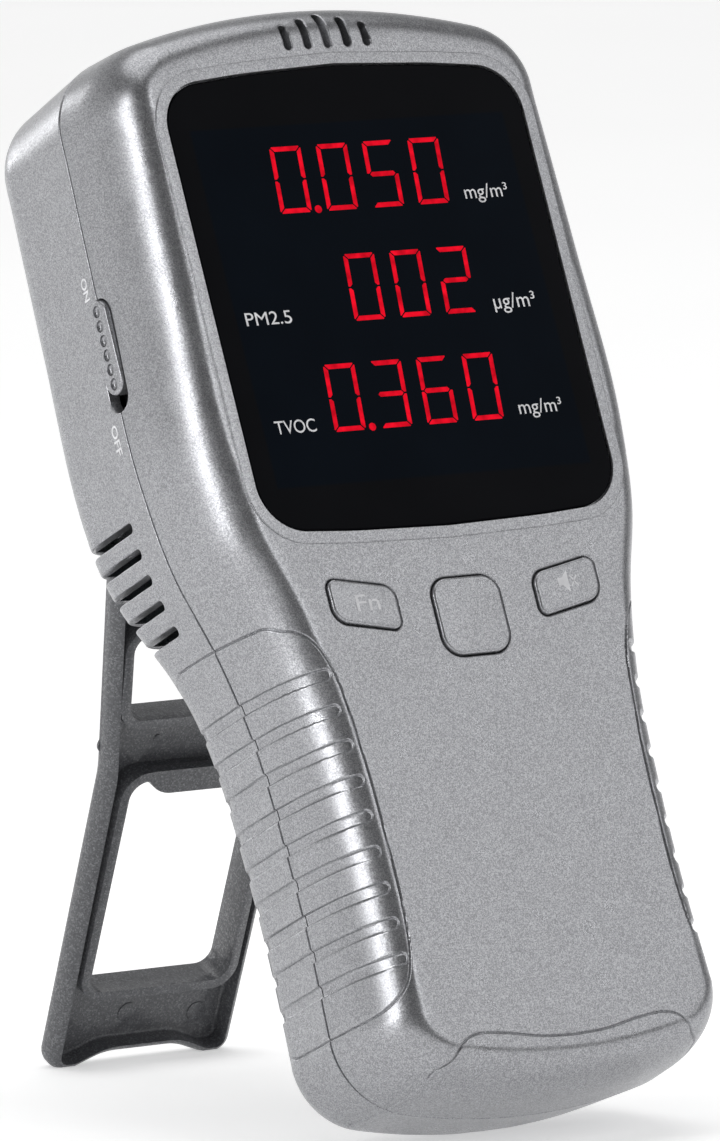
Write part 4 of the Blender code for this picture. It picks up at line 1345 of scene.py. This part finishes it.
def new_material(name):
    """A material with its node tree and its principled shader."""
    material = bpy.data.materials.new(name)
    material.use_nodes = True
    tree = material.node_tree
    tree.nodes.clear()
    shader = tree.nodes.new("ShaderNodeBsdfPrincipled")
    output = tree.nodes.new("ShaderNodeOutputMaterial")
    tree.links.new(shader.outputs["BSDF"], output.inputs["Surface"])
    return material, tree, shader


def texture(tree, kind, scale, **sockets):
    """A texture node in the piece's own coordinates; scale is in features per metre."""
    node = tree.nodes.new(kind)
    place = tree.nodes.new("ShaderNodeTexCoord")
    tree.links.new(place.outputs["Object"], node.inputs["Vector"])
    node.inputs["Scale"].default_value = scale
    for name, value in sockets.items():
        node.inputs[name].default_value = value
    return node


def ramp(tree, source, stops):
    """A colour ramp of (position, grey or colour) stops, driven by source."""
    node = tree.nodes.new("ShaderNodeValToRGB")
    while len(node.color_ramp.elements) < len(stops):
        node.color_ramp.elements.new(0.5)
    for element, (position, colour) in zip(node.color_ramp.elements, stops):
        element.position = position
        grey = isinstance(colour, (int, float))
        element.color = (colour, colour, colour, 1.0) if grey else (*colour, 1.0)
    tree.links.new(source, node.inputs["Fac"])
    return node.outputs["Color"]


def bump(tree, shader, source, distance):
    """Bumps the surface, distance metres high, by source."""
    node = tree.nodes.new("ShaderNodeBump")
    node.inputs["Strength"].default_value = 1.0
    node.inputs["Distance"].default_value = distance
    tree.links.new(source, node.inputs["Height"])
    tree.links.new(node.outputs["Normal"], shader.inputs["Normal"])


def vector_math(tree, operation, first, second=None):
    """A vector operation on one or two sockets, the second of which may be a fixed vector."""
    node = tree.nodes.new("ShaderNodeVectorMath")
    node.operation = operation
    tree.links.new(first, node.inputs[0])
    if isinstance(second, bpy.types.NodeSocket):
        tree.links.new(second, node.inputs[1])
    elif second is not None:
        node.inputs[1].default_value = second
    return node


def flake_normals(tree, shader, flakes, tilt):
    """Turns each flake a little its own way about the surface's normal."""
    surface = tree.nodes.new("ShaderNodeNewGeometry")
    middle = vector_math(tree, "SUBTRACT", flakes.outputs["Color"], (0.5, 0.5, 0.5))
    scaled = vector_math(tree, "SCALE", middle.outputs["Vector"])
    scaled.inputs["Scale"].default_value = tilt
    total = vector_math(tree, "ADD", surface.outputs["Normal"], scaled.outputs["Vector"])
    unit = vector_math(tree, "NORMALIZE", total.outputs["Vector"])
    tree.links.new(unit.outputs["Vector"], shader.inputs["Normal"])


def silver_paint():
    """Silver-grey paint with fine metal flakes that catch the light one by one."""
    material, tree, shader = new_material("silver_paint")
    flakes = texture(tree, "ShaderNodeTexVoronoi", 5600.0)
    tree.links.new(ramp(tree, flakes.outputs["Color"], [(0.15, (0.23, 0.233, 0.245)),
                                                      (0.5, (0.325, 0.328, 0.344)),
                                                      (0.9, (0.48, 0.485, 0.505))]),
                   shader.inputs["Base Color"])
    flake_normals(tree, shader, flakes, 0.045)
    shader.inputs["Metallic"].default_value = 0.75
    cloud = texture(tree, "ShaderNodeTexNoise", 160.0, Detail=3.0)
    tree.links.new(ramp(tree, cloud.outputs["Fac"], [(0.3, 0.26), (0.7, 0.34)]),
                   shader.inputs["Roughness"])
    return material


def dull_plastic(name, low, high, roughness, grain, depth):
    """Moulded plastic between two colours, with a fine grain of its own."""
    material, tree, shader = new_material(name)
    cloud = texture(tree, "ShaderNodeTexNoise", grain * 0.1, Detail=4.0)
    tree.links.new(ramp(tree, cloud.outputs["Fac"], [(0.3, low), (0.7, high)]),
                   shader.inputs["Base Color"])
    fine = texture(tree, "ShaderNodeTexNoise", grain, Detail=2.0)
    uneven = ramp(tree, fine.outputs["Fac"], [(0.3, roughness - 0.06), (0.7, roughness + 0.06)])
    tree.links.new(uneven, shader.inputs["Roughness"])
    bump(tree, shader, fine.outputs["Fac"], depth)
    return material


def dark_plastic():
    low, high = (0.030, 0.031, 0.034), (0.050, 0.052, 0.056)
    return dull_plastic("dark_plastic", low, high, 0.5, 2600.0, 2e-5)


def stand_plastic():
    """Dark grey plastic with the sparkling grain of a spark-eroded mould."""
    material, tree, shader = new_material("stand_plastic")
    grains = texture(tree, "ShaderNodeTexVoronoi", 3600.0)
    tree.links.new(ramp(tree, grains.outputs["Color"], [(0.0, (0.060, 0.062, 0.068)),
                                                      (0.6, (0.095, 0.097, 0.104)),
                                                      (1.0, (0.20, 0.205, 0.215))]),
                   shader.inputs["Base Color"])
    flake_normals(tree, shader, grains, 0.16)
    cloud = texture(tree, "ShaderNodeTexNoise", 300.0, Detail=3.0)
    tree.links.new(ramp(tree, cloud.outputs["Fac"], [(0.3, 0.30), (0.7, 0.40)]),
                   shader.inputs["Roughness"])
    return material


DISPLAY_AREA = (33.5, -36.0, 30.5)     # half width and both ends' u of what is behind the glass
DISPLAY_SOFT = 0.4                     # width of that area's soft border


def map_range(tree, source, start, end):
    """Zero to one as source goes from start to end."""
    node = tree.nodes.new("ShaderNodeMapRange")
    node.inputs["From Min"].default_value = start
    node.inputs["From Max"].default_value = end
    tree.links.new(source, node.inputs["Value"])
    return node.outputs["Result"]


def product(tree, first, second):
    node = tree.nodes.new("ShaderNodeMath")
    node.operation = "MULTIPLY"
    tree.links.new(first, node.inputs[0])
    tree.links.new(second, node.inputs[1])
    return node.outputs["Value"]


def within(tree, source, low, high):
    """One inside a range of source, in metres, and zero outside it, with soft ends."""
    soft = DISPLAY_SOFT * MM
    rise = map_range(tree, source, low, low + soft)
    fall = map_range(tree, source, high, high - soft)
    return product(tree, rise, fall)


def smoked_acrylic():
    """Nearly black polished acrylic, a touch bluer over the display behind it."""
    material, tree, shader = new_material("smoked_acrylic")
    cloud = texture(tree, "ShaderNodeTexNoise", 60.0, Detail=2.0)
    over_display = ramp(tree, cloud.outputs["Fac"], [(0.3, (0.0006, 0.0022, 0.0052)),
                                                     (0.7, (0.0011, 0.0032, 0.0068))])
    border = ramp(tree, cloud.outputs["Fac"], [(0.3, (0.0022, 0.0024, 0.0034)),
                                               (0.7, (0.0032, 0.0034, 0.0046))])
    place = tree.nodes.new("ShaderNodeTexCoord")
    split = tree.nodes.new("ShaderNodeSeparateXYZ")
    tree.links.new(place.outputs["Object"], split.inputs[0])
    height = vector_math(tree, "DOT_PRODUCT", place.outputs["Object"], U_AXIS)
    half, low, high = (size * MM for size in DISPLAY_AREA)
    base = CASING.translation.dot(U_AXIS)
    area = product(tree, within(tree, split.outputs["X"], -half, half),
                   within(tree, height.outputs["Value"], base + low, base + high))
    mix = tree.nodes.new("ShaderNodeMix")
    mix.data_type = "RGBA"
    tree.links.new(area, mix.inputs["Factor"])
    tree.links.new(border, mix.inputs["A"])
    tree.links.new(over_display, mix.inputs["B"])
    tree.links.new(mix.outputs["Result"], shader.inputs["Base Color"])
    dust = texture(tree, "ShaderNodeTexNoise", 900.0, Detail=6.0)
    tree.links.new(ramp(tree, dust.outputs["Fac"], [(0.45, 0.04), (0.75, 0.12)]),
                   shader.inputs["Roughness"])
    shader.inputs["IOR"].default_value = 1.49
    shader.inputs["Specular IOR Level"].default_value = 0.03
    return material


def lit_red():
    """Lit red segments, a little uneven as light spreads through their diffuser."""
    material, tree, shader = new_material("lit_red")
    spread = texture(tree, "ShaderNodeTexNoise", 500.0, Detail=2.0)
    glow = ramp(tree, spread.outputs["Fac"], [(0.3, (0.50, 0.001, 0.010)),
                                              (0.7, (0.95, 0.004, 0.022))])
    tree.links.new(glow, shader.inputs["Emission Color"])
    shader.inputs["Emission Strength"].default_value = 1.0
    shader.inputs["Base Color"].default_value = (0.02, 0.0005, 0.001, 1.0)
    shader.inputs["Roughness"].default_value = 0.6
    shader.inputs["Specular IOR Level"].default_value = 0.03
    return material


def white_ink(name="white_ink", low=(0.62, 0.62, 0.64), high=(0.82, 0.82, 0.84)):
    return dull_plastic(name, low, high, 0.5, 5000.0, 4e-6)


def steel():
    """Plated steel with faint turning marks."""
    material, tree, shader = new_material("plated_steel")
    marks = texture(tree, "ShaderNodeTexNoise", 1500.0, Detail=4.0)
    tree.links.new(ramp(tree, marks.outputs["Fac"], [(0.3, (0.48, 0.48, 0.50)),
                                                     (0.7, (0.62, 0.62, 0.64))]),
                   shader.inputs["Base Color"])
    tree.links.new(ramp(tree, marks.outputs["Fac"], [(0.3, 0.24), (0.7, 0.36)]),
                   shader.inputs["Roughness"])
    shader.inputs["Metallic"].default_value = 1.0
    return material


def inner_materials():
    """A material for every CAD node that stays in view inside the casing."""
    dark, metal = dark_plastic(), steel()
    blue = dull_plastic("sensor_blue", (0.21, 0.28, 0.38), (0.27, 0.34, 0.45), 0.42, 1500.0, 2e-5)
    board = dull_plastic("board_green", (0.012, 0.12, 0.05), (0.025, 0.18, 0.08), 0.38, 900.0, 1e-5)
    pale = dull_plastic("pale_plastic", (0.55, 0.55, 0.53), (0.66, 0.66, 0.64), 0.4, 1200.0, 1e-5)
    wrap = dull_plastic("cell_wrap", (0.04, 0.16, 0.36), (0.06, 0.22, 0.46), 0.3, 400.0, 2e-5)
    chosen = {"particle_sensor": blue, "main_board": board, "formaldehyde_sensor": pale,
              "voc_sensor": metal, "usb_socket": metal, "battery_cell_left": wrap,
              "battery_cell_right": wrap}
    for name, obj in frame["nodes"].items():
        if name.endswith(tuple("123456")) and "screw" in name:
            material = metal
        else:
            material = chosen.get(name, dark)
        for slot in obj.material_slots:
            slot.material = material


# ------------------------------------------------------------- floor, lights and camera


def make_floor():
    """A wide pale floor, a grid of cells, under the standing feet."""
    half, cells = 9.0, 12
    steps = np.linspace(-half, half, cells + 1)
    verts = [(x, y, 0.0) for y in steps for x in steps]
    faces = [(j * (cells + 1) + i, j * (cells + 1) + i + 1, (j + 1) * (cells + 1) + i + 1,
              (j + 1) * (cells + 1) + i) for j in range(cells) for i in range(cells)]
    mesh = bpy.data.meshes.new("floor")
    mesh.from_pydata(verts, [], faces)
    material, tree, shader = new_material("pale_floor")
    cloud = texture(tree, "ShaderNodeTexNoise", 3.0, Detail=2.0)
    tree.links.new(ramp(tree, cloud.outputs["Fac"], [(0.3, 0.86), (0.7, 0.88)]),
                   shader.inputs["Base Color"])
    shader.inputs["Roughness"].default_value = 0.9
    shader.inputs["Emission Color"].default_value = (1.0, 1.0, 1.0, 1.0)
    shader.inputs["Emission Strength"].default_value = 0.42
    mesh.materials.append(material)
    add_object("floor", mesh)


def area_light(name, direction, distance, size, power, tall=None):
    """A soft rectangular light that faces the casing's middle from a direction."""
    light = bpy.data.lights.new(name, "AREA")
    light.shape = "RECTANGLE"
    light.size = size
    light.size_y = tall or size
    light.energy = power
    obj = add_object(name, light)
    target = Vector((0.0, 0.0, 0.10))
    away = Vector(direction).normalized()
    obj.location = target + away * distance
    obj.rotation_euler = away.to_track_quat("Z", "Y").to_euler()


def make_lights():
    """Soft boxes for the face and its edges, and an even light from above."""
    area_light("edge_strip", (-0.965, 0.02, 0.26), 1.6, 0.40, 9.5, 1.2)
    area_light("front_soft", (0.56, -0.64, 0.52), 2.0, 1.6, 9.4)
    area_light("front_edge", (0.17, -0.78, 0.59), 2.0, 0.5, 4.6, 1.4)
    area_light("corner_strip", (-0.18, 0.96, 0.22), 2.2, 0.45, 3.2, 0.7)
    sun = bpy.data.lights.new("overhead", "SUN")
    sun.energy = 1.3
    sun.angle = math.radians(60.0)
    obj = add_object("overhead", sun)
    obj.rotation_euler = (math.radians(-14.0), math.radians(3.0), 0.0)


def make_backdrop():
    """A glow that is brighter behind the object and dimmer towards the ceiling."""
    world = bpy.data.worlds.new("studio")
    bpy.context.scene.world = world
    world.use_nodes = True
    tree = world.node_tree
    place = tree.nodes.new("ShaderNodeTexCoord")
    split = tree.nodes.new("ShaderNodeSeparateXYZ")
    tree.links.new(place.outputs["Generated"], split.inputs[0])
    behind = map_range(tree, split.outputs["Y"], -0.9, 0.9)
    glow = ramp(tree, behind, [(0.0, 0.10), (0.35, 0.14), (0.6, 0.50), (1.0, 0.90)])
    ceiling = ramp(tree, split.outputs["Z"], [(0.15, 1.0), (0.6, 0.25)])
    both = vector_math(tree, "MULTIPLY", glow, ceiling)
    tree.links.new(both.outputs["Vector"], tree.nodes["Background"].inputs["Color"])
    tree.nodes["Background"].inputs["Strength"].default_value = 1.0


def make_camera():
    """The photo's view: from the left and a little above, with a long lens."""
    side, rise = math.radians(34.3), math.radians(7.65)
    right = Vector((math.cos(side), -math.sin(side), 0.0))
    ahead = Vector((math.sin(side) * math.cos(rise), math.cos(side) * math.cos(rise), -math.sin(rise)))
    up = right.cross(ahead)
    place = -(right * 4.886 + up * 50.53 + ahead * 1933.2) * MM
    lean = Matrix.Rotation(math.radians(1.8), 3, "X")
    right, ahead, up, place = (lean @ each for each in (right, ahead, up, place))
    camera = bpy.data.cameras.new("camera")
    camera.sensor_fit = "AUTO"
    camera.sensor_width = 36.0
    camera.lens = 11000 / 1141 * 36.0
    camera.clip_start = 0.1
    camera.clip_end = 60.0
    camera.dof.use_dof = False
    obj = add_object("camera", camera)
    turn = Matrix((right, up, -ahead)).transposed()
    obj.matrix_world = Matrix.Translation(CASING.translation + place) @ turn.to_4x4()
    bpy.context.scene.camera = obj


# ------------------------------------------------------------- assembly


def main():
    silver, dark = silver_paint(), dark_plastic()
    inner_materials()
    make_front_casing(silver, dark)
    make_rear_casing(silver, dark)
    make_glass(smoked_acrylic())
    make_digits(lit_red())
    ink = white_ink()
    make_display_marks(ink)
    make_key_marks(white_ink("pale_ink", (0.62, 0.62, 0.64), (0.72, 0.72, 0.74)))
    make_switch_marks(ink)
    make_keys(silver)
    make_slider(silver, dark)
    make_stand(stand_plastic())
    make_pin(steel())
    make_floor()
    make_lights()
    make_backdrop()
    make_camera()
    bpy.context.scene.view_settings.view_transform = "Standard"


main()
